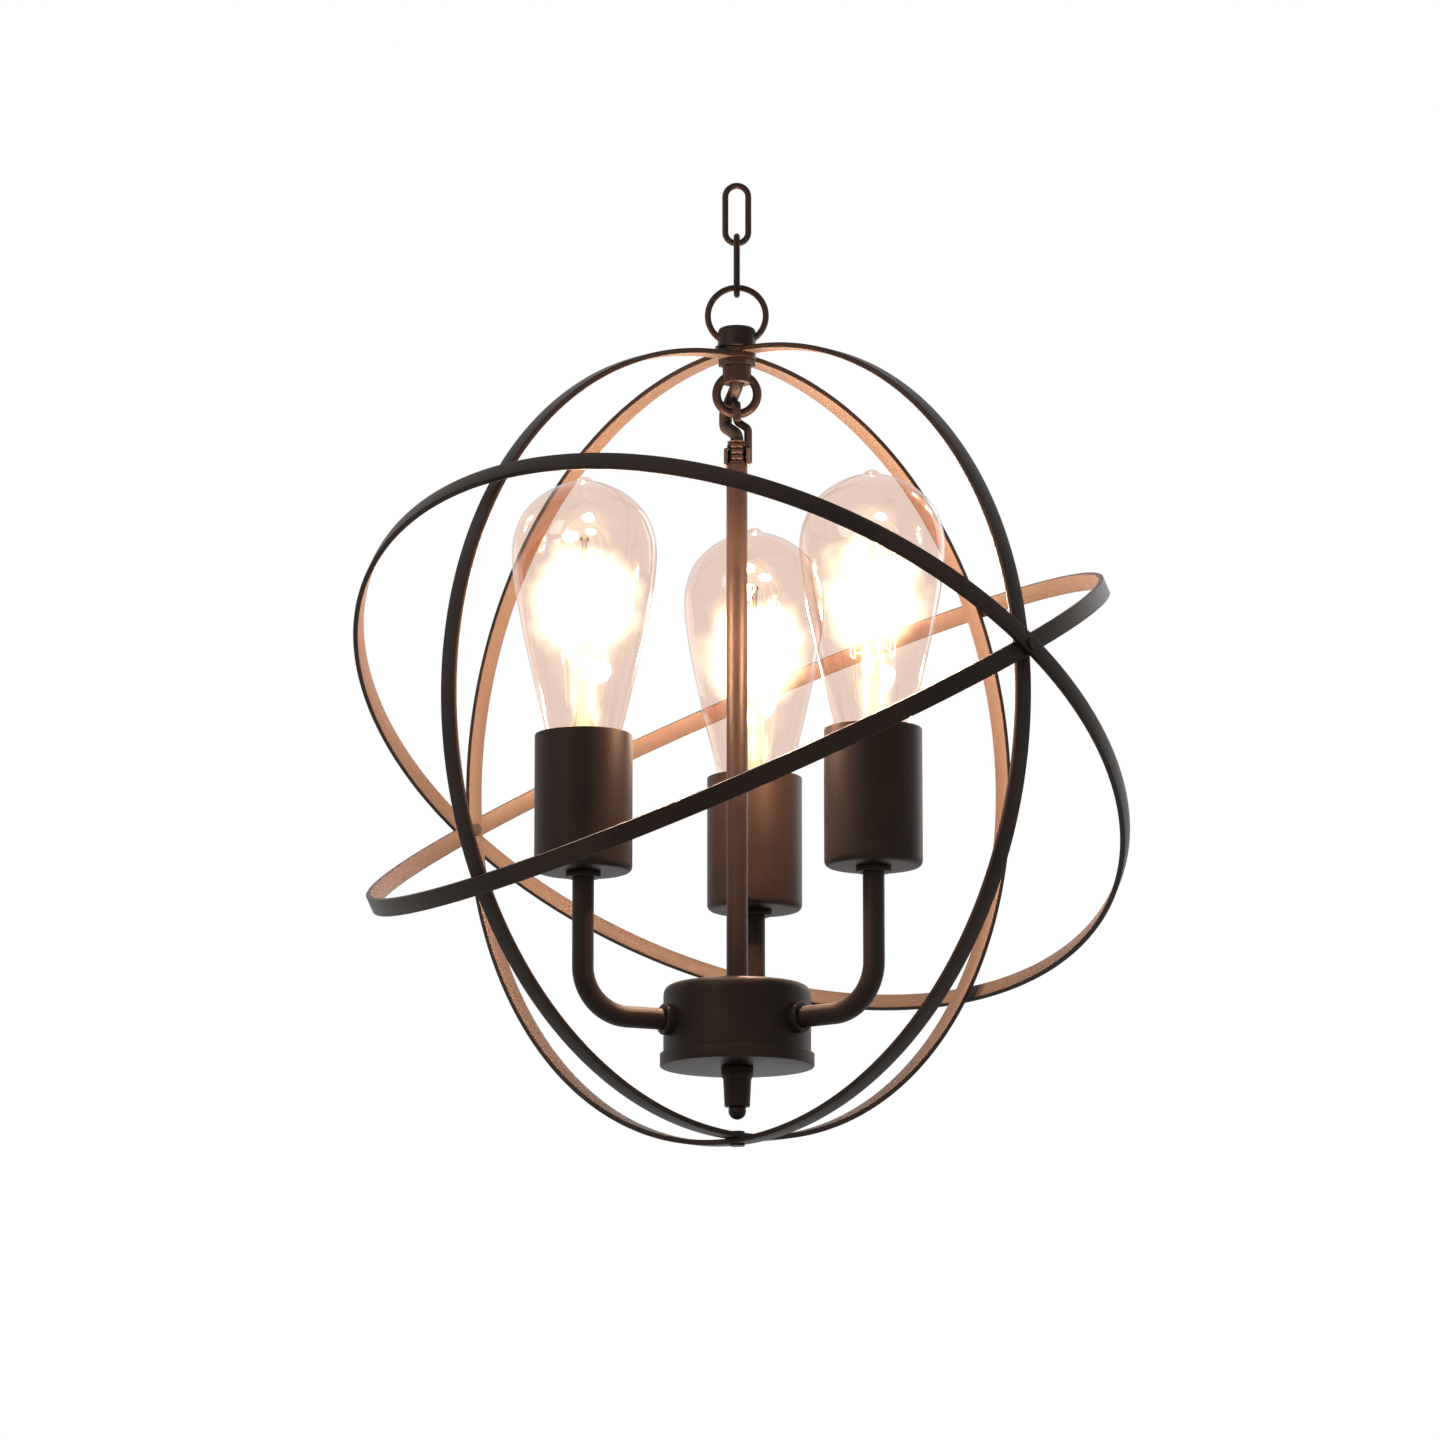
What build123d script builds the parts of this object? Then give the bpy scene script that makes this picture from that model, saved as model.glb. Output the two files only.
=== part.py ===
"""Orb chandelier: an open cage of four flat steel bands round a three-arm cluster
of cup sockets, hung from two chain links and a ring.  Millimetres, +Z up.

The parts are modelled about the middle of the cage and are all let down by HANG
when they are exported, so that the file's origin is the bearing point inside the
top chain link.  The cluster arms are numbered 1 (back), 2 (left), 3 (right)."""
import os
from math import cos, radians, sin, sqrt

from build123d import *

os.makedirs("parts", exist_ok=True)

# ---------------------------------------------------------------- fits
SLIP = 0.05          # radial clearance of a pin or a threaded part in its hole
GAP = 0.30           # open gap between neighbouring pieces that move

# ---------------------------------------------------------------- cage bands
BAND_W = 8.0
BAND_T = 2.4
CAGE_R = 175.0       # outer radius of band B at the middle height
CAGE_STRETCH = 4.2   # the two upright bands are this much taller than wide, per side
BAND_A_AZ = 45.0     # azimuth of the upright bands' planes, degrees from +X
BAND_B_AZ = -45.0
PIVOT_EL = 5.7       # rise of the pivot line of bands C and D in band B's plane
BAND_C_TURN = 57.7   # angle of bands C and D from band B's plane, round that line
BAND_D_TURN = 118.0
ZENITH = CAGE_R + CAGE_STRETCH
BAND_D_R = CAGE_R + GAP + BAND_T          # outer radii of the two turning bands
BAND_C_R = BAND_D_R + GAP + BAND_T
HUB_PAD_D = 17.0     # round pad where the upright bands meet under the cap
NADIR_FLAT = 9.0
PIVOT_D = 3.0
PIVOT_HEAD_D = 5.6
PIVOT_HEAD_T = 0.7
NADIR_RIVET_D = 3.6
NADIR_HEAD_D = 6.6
NADIR_HEAD_T = 0.8

# ---------------------------------------------------------------- chain and hub
LINK_L = 29.6
LINK_W = 13.1
LINK_WIRE = 2.8
RING_WIRE = 2.8
RING_R = 13.0        # wire centre line of the top ring
CAP_D = 17.0
CAP_TOP = 9.8        # above the upright bands
CAP_FLANGE_D = 19.6
CAP_FLANGE_T = 1.0
CAP_EDGE = 2.2
NIPPLE_D = 10.0      # M10 x 1 lamp thread
NIPPLE_BORE = 7.0
NUT_AF = 14.2
NUT_T = 3.0
NECK_D = 12.8
NECK_H = 8.0
LOOP_R = 9.1         # wire centre line of the lower loop
LOOP_WIRE = 4.0
CABLE_D = 5.8

# ---------------------------------------------------------------- stem and body
STEM_D = 9.4
STEM_WALL = 1.0
STEM_DROP = 23.5     # from the point where the hook bears down to the stem's top
COUPLING_H = 10.6
COUPLING_D = 7.8
RIDGE_D = 8.8
CLAMP_D = 11.8
CLAMP_H = 7.2
HOOK_D = 3.6
HOOK_GAP = 0.45
BODY_D = 65.0
BODY_H = 36.2        # from the cover's underside to the drum's top
BODY_EDGE = 5.0
SHEET = 1.0
COVER_D = 68.0
COVER_SKIRT = 5.8
FINIAL_COLLAR_D = 14.2
FINIAL_COLLAR_H = 4.2
FINIAL_NECK_D = 12.4
FINIAL_NECK_H = 13.4
FINIAL_BALL_D = 7.8
FINIAL_BALL_H = 5.6  # how far the ball stands out of the neck
FOOT_CLEAR = 5.2     # room between the finial and the rivet at the nadir

# ---------------------------------------------------------------- arms and cups
ARM_AZ = (84.5, 204.5, 324.5)
ARM_REACH = 73.5
ARM_D = 9.5
ARM_WALL = 1.2
ARM_RISE = 19.2      # centre line of the arms above the cover's underside
ARM_BEND = 21.0
BOSS_D = 13.8
BOSS_T = 3.6
CUP_D = 43.0
CUP_WALL = 1.2
CUP_RISE = 62.5      # cup's underside above the arms' centre line
CUP_H = 61.0
CUP_EDGE = 3.0
SEAT_D = 15.4
SEAT_T = 2.5

# ---------------------------------------------------------------- lampholders, bulbs
HOLDER_D = 34.0
HOLDER_LOW = 10.5    # holder's top below the cup's rim
SHELL_BORE = 27.0
SHELL_T = 0.5
SHELL_H = 31.0
BULB_D = 64.0        # ST64 lamp with an E26 screw cap
BULB_H = 148.4       # from the centre contact to the crown
LAMP_IN = 22.4       # depth of the centre contact in the holder
LAMP_CAP_D = 26.0
LAMP_CAP_H = 20.9
LAMP_TIP_H = 5.9     # bead and contact under the cap
LAMP_NECK = 12.2     # outer radius of the glass neck inside the screw cap
LAMP_NECK_IN = 5.4   # length of that neck inside the cap
GLASS_T = 0.9
PRESS_H = 48.0       # lamp mount: the pinch of its glass stem and the top of its post
POST_H = 98.0
CROWN_LOW = (9.5, 44.0)      # radius and height of the two crowns that the filament runs over
CROWN_TOP = (12.5, 92.0)

# ---------------------------------------------------------------- worked out from the above
LOOP_Z = ZENITH - 2 * BAND_T - NUT_T - NECK_H - 4.8
LOOP_PIVOT = LOOP_Z - LOOP_R
RING_LOW = ZENITH + CAP_FLANGE_T + 0.2
RING_Z = RING_LOW + RING_WIRE / 2 + RING_R
RING_IN_CAP = RING_Z - sqrt((RING_R - RING_WIRE / 2) ** 2 - (CAP_D / 2) ** 2)
CAP_PIVOT = (RING_LOW + RING_IN_CAP) / 2
CAP_BORE = RING_IN_CAP - RING_LOW + 2 * GAP
RING_PIVOT = RING_Z + RING_R - RING_WIRE / 2 - GAP - LINK_WIRE / 2
LINK_2_Z = RING_PIVOT - LINK_WIRE / 2 + LINK_L / 2
LINK_PIVOT = LINK_2_Z + LINK_L / 2 - 1.5 * LINK_WIRE - GAP
LINK_1_Z = LINK_PIVOT - LINK_WIRE / 2 + LINK_L / 2
HANG = LINK_1_Z + LINK_L / 2 - LINK_WIRE
FAR = 4 * CAGE_R
STEM_TOP = LOOP_PIVOT - STEM_DROP
COUPLING_TOP = STEM_TOP + COUPLING_H
FINIAL_END = FOOT_CLEAR + NADIR_HEAD_T + 2 * BAND_T - ZENITH
FINIAL_NECK_END = FINIAL_END + FINIAL_BALL_H
COVER_BOTTOM = FINIAL_NECK_END + FINIAL_NECK_H + FINIAL_COLLAR_H
BODY_TOP = COVER_BOTTOM + BODY_H
ARM_Z = COVER_BOTTOM + ARM_RISE
CUP_BOTTOM = ARM_Z + CUP_RISE
CUP_TOP = CUP_BOTTOM + CUP_H
HOLDER_TOP = CUP_TOP - HOLDER_LOW
SHELL_BOTTOM = HOLDER_TOP - SHELL_H
BULB_TIP = HOLDER_TOP - LAMP_IN
BULB_TOP = BULB_TIP + BULB_H
LAMP_CAP_BOTTOM = BULB_TIP + LAMP_TIP_H
LAMP_CAP_TOP = LAMP_CAP_BOTTOM + LAMP_CAP_H
LAMP_END = LAMP_CAP_TOP - LAMP_NECK_IN

UP = Vector(0, 0, 1)
ALONG_B = Vector(cos(radians(BAND_B_AZ)), sin(radians(BAND_B_AZ)), 0)
PIVOT_DIR = ALONG_B * cos(radians(PIVOT_EL)) + UP * sin(radians(PIVOT_EL))
PIVOT_LINE = Axis((0, 0, 0), PIVOT_DIR)


def save(name, shape):
    """Let the shape down to the hanging point and write it as one node."""
    export_step(Pos(0, 0, -HANG) * shape, f"parts/{name}.step")


def rod(diameter, z0, z1):
    return Pos(0, 0, (z0 + z1) / 2) * Cylinder(diameter / 2, abs(z1 - z0))


def turned(points):
    """A solid turned about the Z axis from (radius, z) corners."""
    return revolve(Plane.XZ * make_face(Polyline(*points, close=True)), Axis.Z)


def tube(diameter, wall, z0, z1):
    return rod(diameter, z0, z1) - rod(diameter - 2 * wall, z0, z1)


def bent_rod(diameter, points, radii):
    """Round rod through corner points, each inner corner bent to its own radius."""
    path = FilletPolyline(*points, radius=radii)
    return sweep(Plane(path @ 0, z_dir=path % 0) * Circle(diameter / 2), path=path)


# ================================================================ chain and ring
def chain_link():
    """Stadium link of round wire, standing in the XZ plane about the origin."""
    reach = (LINK_L - LINK_W) / 2
    mid = (LINK_W - LINK_WIRE) / 2
    wire = Circle(LINK_WIRE / 2)
    legs = rod(LINK_WIRE, -reach, reach)
    crown = revolve(Pos(mid, 0, reach) * wire, Axis((0, 0, reach), (0, -1, 0)), 180)
    link = Pos(mid, 0, 0) * legs + Pos(-mid, 0, 0) * legs
    return link + crown + Rot(180, 0, 0) * crown


save("top_link", Pos(0, 0, LINK_1_Z) * chain_link())
save("mid_link", Pos(0, 0, LINK_2_Z) * Rot(0, 0, 90) * chain_link())
save("top_ring", Pos(0, 0, RING_Z) * Rot(90, 0, 0) * Torus(RING_R, RING_WIRE / 2))

# ================================================================ upright bands
def band_plane(azimuth):
    along = (cos(radians(azimuth)), sin(radians(azimuth)), 0)
    across = (sin(radians(azimuth)), -cos(radians(azimuth)), 0)
    return Plane((0, 0, 0), x_dir=along, z_dir=across)


def upright_band(azimuth, top):
    """Oval band with flats where it is clamped at the zenith and the nadir."""
    wide = top - CAGE_STRETCH
    oval = Ellipse(wide, top) - Ellipse(wide - BAND_T, top - BAND_T)
    band = extrude(band_plane(azimuth) * oval, BAND_W / 2, both=True)
    band -= rod(HUB_PAD_D, top - 10, top + 10)
    band += rod(HUB_PAD_D, top - BAND_T, top)
    flat = Rot(0, 0, azimuth) * Pos(0, 0, BAND_T / 2 - top) * Box(NADIR_FLAT, BAND_W, BAND_T)
    clear = Rot(0, 0, azimuth) * Pos(0, 0, -top) * Box(NADIR_FLAT, BAND_W, 6)
    band = band - clear + flat
    band -= rod(NIPPLE_D + 2 * SLIP, top - 10, top + 10)
    band -= rod(NADIR_RIVET_D, -top - 5, -top + 5)
    return band


def pivot_pins(diameter, inner, outer):
    """The same round pin at both ends of the pivot line, between two radii."""
    pin = Pos(0, 0, (inner + outer) / 2) * Cylinder(diameter / 2, outer - inner)
    front = Plane((0, 0, 0), z_dir=PIVOT_DIR) * pin
    back = Plane((0, 0, 0), z_dir=-PIVOT_DIR) * pin
    return front, back


band_b = upright_band(BAND_B_AZ, ZENITH)
for hole in pivot_pins(PIVOT_D, CAGE_R - 6, CAGE_R + 6):
    band_b -= hole
save("band_a", upright_band(BAND_A_AZ, ZENITH - BAND_T))
save("band_b", band_b)

# ================================================================ turning bands
def turning_band(outer, turn):
    """Round band on the pivot line, turned up from band B's plane."""
    normal = ALONG_B.cross(UP).rotate(PIVOT_LINE, turn)
    face = Circle(outer) - Circle(outer - BAND_T)
    band = extrude(Plane((0, 0, 0), x_dir=PIVOT_DIR, z_dir=normal) * face, BAND_W / 2, both=True)
    for hole in pivot_pins(PIVOT_D + 2 * SLIP, outer - 8, outer + 8):
        band -= hole
    return band


save("band_c", turning_band(BAND_C_R, BAND_C_TURN))
save("band_d", turning_band(BAND_D_R, BAND_D_TURN))

# rivets: a shank through B, D and C with a low head inside B and outside C
IN_HEAD = CAGE_R - BAND_T - 0.04
OUT_HEAD = BAND_C_R + GAP
shanks = pivot_pins(PIVOT_D, IN_HEAD, OUT_HEAD)
in_heads = pivot_pins(PIVOT_HEAD_D, IN_HEAD - PIVOT_HEAD_T, IN_HEAD)
out_heads = pivot_pins(PIVOT_HEAD_D, OUT_HEAD, OUT_HEAD + PIVOT_HEAD_T)
rivets = [s + i + o for s, i, o in zip(shanks, in_heads, out_heads)]
save("pivot_rivets", Compound(children=[r.solid() for r in rivets]))

nadir = rod(NADIR_RIVET_D, -ZENITH, 2 * BAND_T - ZENITH)
nadir += rod(NADIR_HEAD_D, -ZENITH - NADIR_HEAD_T, -ZENITH)
nadir += rod(NADIR_HEAD_D, 2 * BAND_T - ZENITH, 2 * BAND_T - ZENITH + NADIR_HEAD_T)
save("nadir_rivet", nadir)

# ================================================================ hub
CLAMP_Z = ZENITH - 2 * BAND_T             # underside of the clamped bands
NECK_TOP = CLAMP_Z - NUT_T
NECK_END = NECK_TOP - NECK_H
cap = rod(CAP_D, ZENITH, ZENITH + CAP_TOP)
cap = fillet(cap.edges().group_by(Axis.Z)[-1], CAP_EDGE)
cap += rod(CAP_FLANGE_D, ZENITH, ZENITH + CAP_FLANGE_T)
cap += rod(NIPPLE_D, NECK_END + 1.6, ZENITH)
cap -= rod(NIPPLE_BORE, NECK_END, ZENITH - 3)
cap -= Pos(0, 0, CAP_PIVOT) * Rot(0, 90, 0) * Cylinder(CAP_BORE / 2, FAR)
save("hub_cap", cap)

nut = Pos(0, 0, NECK_TOP) * extrude(RegularPolygon(NUT_AF / 2, 6, major_radius=False), NUT_T)
save("hub_nut", nut - rod(NIPPLE_D + 2 * SLIP, NECK_TOP, CLAMP_Z))

loop = rod(NECK_D, NECK_END, NECK_TOP)
loop += Pos(0, 0, LOOP_Z) * Rot(90, 0, 0) * Torus(LOOP_R, LOOP_WIRE / 2)
loop -= rod(NIPPLE_D + 2 * SLIP, NECK_END + 1.6, NECK_TOP)
loop -= rod(NIPPLE_BORE, LOOP_Z, NECK_TOP)
save("hub_loop", loop)

# ================================================================ stem top
reach = LOOP_WIRE / 2 + HOOK_GAP + HOOK_D / 2
hook_top = LOOP_PIVOT + reach
side = (CLAMP_D - HOOK_D) / 2 + 0.9
hook = bent_rod(
    HOOK_D,
    [(side, 1, STEM_TOP + 1), (side, 1, LOOP_PIVOT - 6.5), (0, reach, LOOP_PIVOT - 2.5),
     (0, reach, hook_top), (0, -reach, hook_top), (0, -reach, LOOP_PIVOT - 4)],
    [3, 3, reach - 0.05, reach - 0.05],
)
clamp = rod(CLAMP_D, STEM_TOP, STEM_TOP + CLAMP_H)
clamp -= Pos(0, -CLAMP_D / 2, STEM_TOP) * Box(8.2, CLAMP_D, 4 * CLAMP_H)
bore = rod(RIDGE_D + 2 * SLIP, STEM_TOP - 1, COUPLING_TOP + GAP)
save("stem_hook", clamp + hook - bore)

ribs = [(CABLE_D / 2 + GAP, STEM_TOP), (RIDGE_D / 2, STEM_TOP)]
for groove in range(4):
    level = STEM_TOP + 1.2 + groove * (COUPLING_H - 2.5) / 3
    ribs += [(RIDGE_D / 2, level), (COUPLING_D / 2, level + 0.5)]
    ribs += [(COUPLING_D / 2, level + 0.8), (RIDGE_D / 2, level + 1.3)]
ribs += [(CABLE_D / 2 + GAP, COUPLING_TOP)]
save("stem_coupling", turned(ribs))

aside = -(CABLE_D + HOOK_D) / 2 - 0.5
behind = reach + (CABLE_D + HOOK_D) / 2 - 1.0
cable = bent_rod(
    CABLE_D,
    [(0, 0, CLAMP_Z - 1), (0, 0, NECK_END - 1), (aside, behind, LOOP_PIVOT + 2.5),
     (aside, behind, LOOP_PIVOT - 4), (0, 0, LOOP_PIVOT - 9.5), (0, 0, STEM_TOP + 1)],
    [5, 5, 4, 4],
)
save("hub_lead", cable)

# ================================================================ stem, body, finial
STEM_END = COVER_BOTTOM - FINIAL_COLLAR_H - 6
HOLE = STEM_D + 2 * SLIP
save("stem_tube", tube(STEM_D, STEM_WALL, STEM_END, STEM_TOP))

FLOOR = COVER_BOTTOM + 1.2
drum = rod(BODY_D, FLOOR, BODY_TOP)
drum = fillet(drum.edges().group_by(Axis.Z)[-1], BODY_EDGE)
hollow = rod(BODY_D - 2 * SHEET, FLOOR, BODY_TOP - SHEET)
hollow = fillet(hollow.edges().group_by(Axis.Z)[-1], BODY_EDGE - SHEET)
drum = drum - hollow - rod(HOLE, BODY_TOP - 9, BODY_TOP + 9)

cover = rod(COVER_D, COVER_BOTTOM, COVER_BOTTOM + COVER_SKIRT)
cover = chamfer(cover.edges().group_by(Axis.Z)[0], 0.8)
cover -= rod(BODY_D + 2 * SLIP, FLOOR, 0)
cover -= rod(HOLE, COVER_BOTTOM - 9, COVER_BOTTOM + 9)
save("body_cover", cover)

finial = turned([
    (0, COVER_BOTTOM - FINIAL_COLLAR_H - 7),
    (0, FINIAL_NECK_END),
    (FINIAL_NECK_D / 2 - 0.6, FINIAL_NECK_END),
    (FINIAL_NECK_D / 2, COVER_BOTTOM - FINIAL_COLLAR_H - 1),
    (FINIAL_COLLAR_D / 2, COVER_BOTTOM - FINIAL_COLLAR_H),
    (FINIAL_COLLAR_D / 2, COVER_BOTTOM),
    (STEM_D / 2 + SLIP, COVER_BOTTOM),
    (STEM_D / 2 + SLIP, COVER_BOTTOM - FINIAL_COLLAR_H - 7),
])
finial += Pos(0, 0, FINIAL_END + FINIAL_BALL_D / 2) * Sphere(FINIAL_BALL_D / 2)
save("finial", finial)

lock_nut = extrude(RegularPolygon(7.5, 6, major_radius=False), 3)
save("stem_nut", Pos(0, 0, BODY_TOP - SHEET - 3) * lock_nut - rod(HOLE, -FAR, FAR))

# ================================================================ arms, cups, holders
def cup_seat():
    seat = rod(SEAT_D, CUP_BOTTOM - SEAT_T, CUP_BOTTOM)
    return seat - rod(ARM_D + 2 * SLIP, -FAR, CUP_TOP)


def cup():
    outer = rod(CUP_D, CUP_BOTTOM, CUP_TOP)
    outer = fillet(outer.edges().group_by(Axis.Z)[0], CUP_EDGE)
    inner = rod(CUP_D - 2 * CUP_WALL, CUP_BOTTOM + CUP_WALL, CUP_TOP)
    inner = fillet(inner.edges().group_by(Axis.Z)[0], CUP_EDGE - CUP_WALL)
    return outer - inner - rod(ARM_D + 2 * SLIP, -FAR, CUP_BOTTOM + CUP_H / 2)


HOLDER_FLOOR = SHELL_BOTTOM - 2.5
ARM_END = CUP_BOTTOM + 8


def holder_body():
    """Moulded insulator standing on the cup floor, bored for the screw shell."""
    shape = rod(HOLDER_D, CUP_BOTTOM + CUP_WALL, HOLDER_TOP)
    shape = chamfer(shape.edges().group_by(Axis.Z)[-1], 1.2)
    shape -= rod(SHELL_BORE + 2 * SHELL_T, HOLDER_FLOOR, HOLDER_TOP)
    shape -= rod(ARM_D + 2 * SLIP, CUP_BOTTOM, ARM_END)
    return shape - rod(6, ARM_END, HOLDER_FLOOR)


def screw_shell():
    shape = tube(SHELL_BORE + 2 * SHELL_T, SHELL_T, SHELL_BOTTOM, HOLDER_TOP - 1.5)
    floor = rod(SHELL_BORE + 2 * SHELL_T, SHELL_BOTTOM, SHELL_BOTTOM + SHELL_T)
    return shape + floor - rod(14, -FAR, CUP_TOP)


def contact_tongue():
    """Sprung brass tongue under the lamp's centre contact, standing on the holder floor."""
    z0 = HOLDER_FLOOR
    high = BULB_TIP - 0.1
    points = [(-5, z0), (5, z0), (5, z0 + 0.6), (-3.4, z0 + 0.6), (1.2, high - 0.6),
              (4.4, high - 0.6), (4.4, high), (0.8, high), (-5, z0 + 0.8)]
    strip = extrude(Plane.XZ * make_face(Polyline(*points, close=True)), 2.5, both=True)
    return strip


# ================================================================ bulbs
def glass():
    """Clear blown ST64 envelope: a pipped crown, an even wall and a neck in the cap."""
    swell = [-8.0, -0.2, 8.3, 15.4, 18.9, 19.8, 18.8, 15.7, 11.6, 7.6, 4.6, 2.0, 0.0]
    rise = [120.0, 117.4, 112.4, 104.6, 95.6, 87.1, 74.6, 56.6, 37.6, 20.6, 8.6, 2.6, 0.0]
    wide = (BULB_D / 2 - LAMP_NECK) / 19.8
    high = (BULB_TOP - LAMP_CAP_TOP) / 121.6
    r = [LAMP_NECK + wide * a for a in swell]
    z = [LAMP_CAP_TOP + high * b for b in rise]
    crown = z[2] - 1

    def solid(inset):
        points = [(a - inset, b - (inset if b > crown else 0)) for a, b in zip(r, z)]
        side = Spline(*points, tangents=((1, -0.3), (-0.25, -1)))
        top = (0, BULB_TOP + 1 - inset)
        pip = ThreePointArc(top, (2.7 - inset / 2, BULB_TOP - inset), points[0])
        rest = Polyline(points[-1], (points[-1][0], LAMP_END), (0, LAMP_END), top)
        return revolve(Plane.XZ * make_face(pip + side + rest), Axis.Z)
    return solid(0) - solid(GLASS_T)


def lamp_cap():
    """Screw cap of the lamp, its thread drawn as rounded rings."""
    r = LAMP_CAP_D / 2
    points = [(LAMP_NECK + SLIP, LAMP_CAP_TOP), (r, LAMP_CAP_TOP), (r, LAMP_CAP_TOP - 3.2)]
    level = LAMP_CAP_TOP - 3.2
    for _ in range(4):
        points += [(r - 0.7, level - 1.2), (r - 0.7, level - 2.0), (r, level - 3.2)]
        level -= 3.629
        points += [(r, level)]
    points += [(r - 1.2, LAMP_CAP_BOTTOM), (r - 1.6, LAMP_CAP_BOTTOM)]
    points += [(r - 1.6, LAMP_END), (LAMP_NECK + SLIP, LAMP_END)]
    return turned(points)


def lamp_insulator():
    """Black glass bead that closes the cap and carries the centre contact."""
    r = LAMP_CAP_D / 2 - 1.6
    z0 = BULB_TIP + 1.6
    shape = turned([(2 + SLIP, z0), (6, z0), (r, LAMP_CAP_BOTTOM), (r, LAMP_CAP_BOTTOM + 2),
                    (2 + SLIP, LAMP_CAP_BOTTOM + 2)])
    return shape


def lamp_contact():
    """Round centre contact with a stud that turns in the bead."""
    shape = rod(9, BULB_TIP, BULB_TIP + 1.3)
    shape = fillet(shape.edges().group_by(Axis.Z)[0], 0.8)
    return shape + rod(4, BULB_TIP + 1, LAMP_CAP_BOTTOM + 1.6)


def lamp_mount():
    """Glass stem inside the lamp that carries the filament."""
    flare = LAMP_NECK - GLASS_T
    outline = [(0, 0), (flare, 0), (flare, 1.2), (7.6, 6), (3.4, 20), (2.6, PRESS_H),
               (3.6, PRESS_H + 2), (3.6, PRESS_H + 4), (1.2, PRESS_H + 6), (1.2, POST_H),
               (2.2, POST_H + 2), (0, POST_H + 3)]
    return turned([(r, LAMP_END + z) for r, z in outline])


def filament():
    """Squirrel-cage filament: one wire up and down between two crowns of hooks."""
    stations = 10
    points = [(4.0, 0, LAMP_END + PRESS_H + 3.2)]
    for i in range(stations):
        turn = radians(360 * i / stations)
        for r, rise in (CROWN_LOW, CROWN_TOP) if i % 2 == 0 else (CROWN_TOP, CROWN_LOW):
            points.append((r * cos(turn), r * sin(turn), LAMP_END + rise))
    path = Polyline(*points)
    wire = Plane(path @ 0, z_dir=path % 0) * Rectangle(0.7, 0.7)
    return sweep(wire, path=path, transition=Transition.RIGHT)


# ================================================================ the three arms
seats, bosses, contacts = [], [], []
for number, azimuth in enumerate(ARM_AZ, start=1):
    turn = Rot(0, 0, azimuth)
    there = turn * Pos(ARM_REACH, 0, 0)
    inside = BODY_D / 2 - 5
    route = [(inside, 0, ARM_Z), (ARM_REACH, 0, ARM_Z), (ARM_REACH, 0, ARM_END)]
    arm = bent_rod(ARM_D, route, [ARM_BEND]) - bent_rod(ARM_D - 2 * ARM_WALL, route, [ARM_BEND])
    save(f"arm_{number}", turn * arm)
    across = turn * Pos(0, 0, ARM_Z) * Rot(0, 90, 0)
    drum -= across * Pos(0, 0, BODY_D / 2) * Cylinder(ARM_D / 2 + SLIP, 20)
    boss = Pos(0, 0, BODY_D / 2 + BOSS_T / 2 - 1) * Cylinder(BOSS_D / 2, BOSS_T + 2)
    boss -= Pos(0, 0, BODY_D / 2) * Cylinder(ARM_D / 2 + SLIP, 40)
    bosses.append((across * boss - rod(BODY_D, ARM_Z - BOSS_D, ARM_Z + BOSS_D)).solid())
    seats.append((there * cup_seat()).solid())
    contacts.append((there * contact_tongue()).solid())
    save(f"cup_{number}", there * cup())
    save(f"holder_{number}", there * holder_body())
    save(f"screw_shell_{number}", there * screw_shell())
    save(f"bulb_glass_{number}", there * glass())
    save(f"bulb_cap_{number}", there * lamp_cap())
    save(f"bulb_bead_{number}", there * lamp_insulator())
    save(f"bulb_contact_{number}", there * lamp_contact())
    save(f"bulb_mount_{number}", there * lamp_mount())
    save(f"filament_{number}", there * filament())

save("body_drum", drum)
save("arm_bosses", Compound(children=bosses))
save("cup_seats", Compound(children=seats))
save("holder_contacts", Compound(children=contacts))
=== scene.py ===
# %% [markdown]
# # An orb chandelier, dressed for its photograph
#
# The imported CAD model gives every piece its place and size.  This lesson makes the
# pieces again with finer meshes and gives each a finish that comes from what the real
# one is made of.  Sizes are written in millimetres, and MM turns them to Blender's
# metres.  Heights are counted from the middle of the cage, as a maker would measure
# them.

from math import cos, pi, radians, sin, sqrt

import bmesh
import bpy
from mathutils import Matrix, Vector


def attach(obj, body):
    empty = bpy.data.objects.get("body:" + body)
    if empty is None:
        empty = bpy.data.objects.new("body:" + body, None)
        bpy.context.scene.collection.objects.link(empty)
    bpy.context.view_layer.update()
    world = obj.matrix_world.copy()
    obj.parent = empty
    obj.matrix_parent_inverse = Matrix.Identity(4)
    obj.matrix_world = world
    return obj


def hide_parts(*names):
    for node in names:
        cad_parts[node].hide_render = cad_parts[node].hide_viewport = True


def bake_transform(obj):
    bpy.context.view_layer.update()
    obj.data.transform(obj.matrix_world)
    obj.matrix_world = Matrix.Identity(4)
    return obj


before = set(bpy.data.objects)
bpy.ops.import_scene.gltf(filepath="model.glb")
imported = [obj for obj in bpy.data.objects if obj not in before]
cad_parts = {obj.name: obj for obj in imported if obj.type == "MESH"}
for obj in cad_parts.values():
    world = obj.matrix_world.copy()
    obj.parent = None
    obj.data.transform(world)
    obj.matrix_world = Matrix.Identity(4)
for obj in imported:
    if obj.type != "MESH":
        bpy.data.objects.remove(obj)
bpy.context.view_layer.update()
MM = 0.001

# %% [markdown]
# ## Sizes read off the CAD nodes
#
# A finer mesh must be as large as the CAD node that it stands for, so heights and a
# few widths are read off those nodes, here and in the cells that need them.  The
# turning band C is centred on the cage, so its middle height is the cage's middle.
# The two upright bands differ by one thickness.  Band B stands halfway between the
# frame's axes, so its radius follows from the side of its box.

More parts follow.
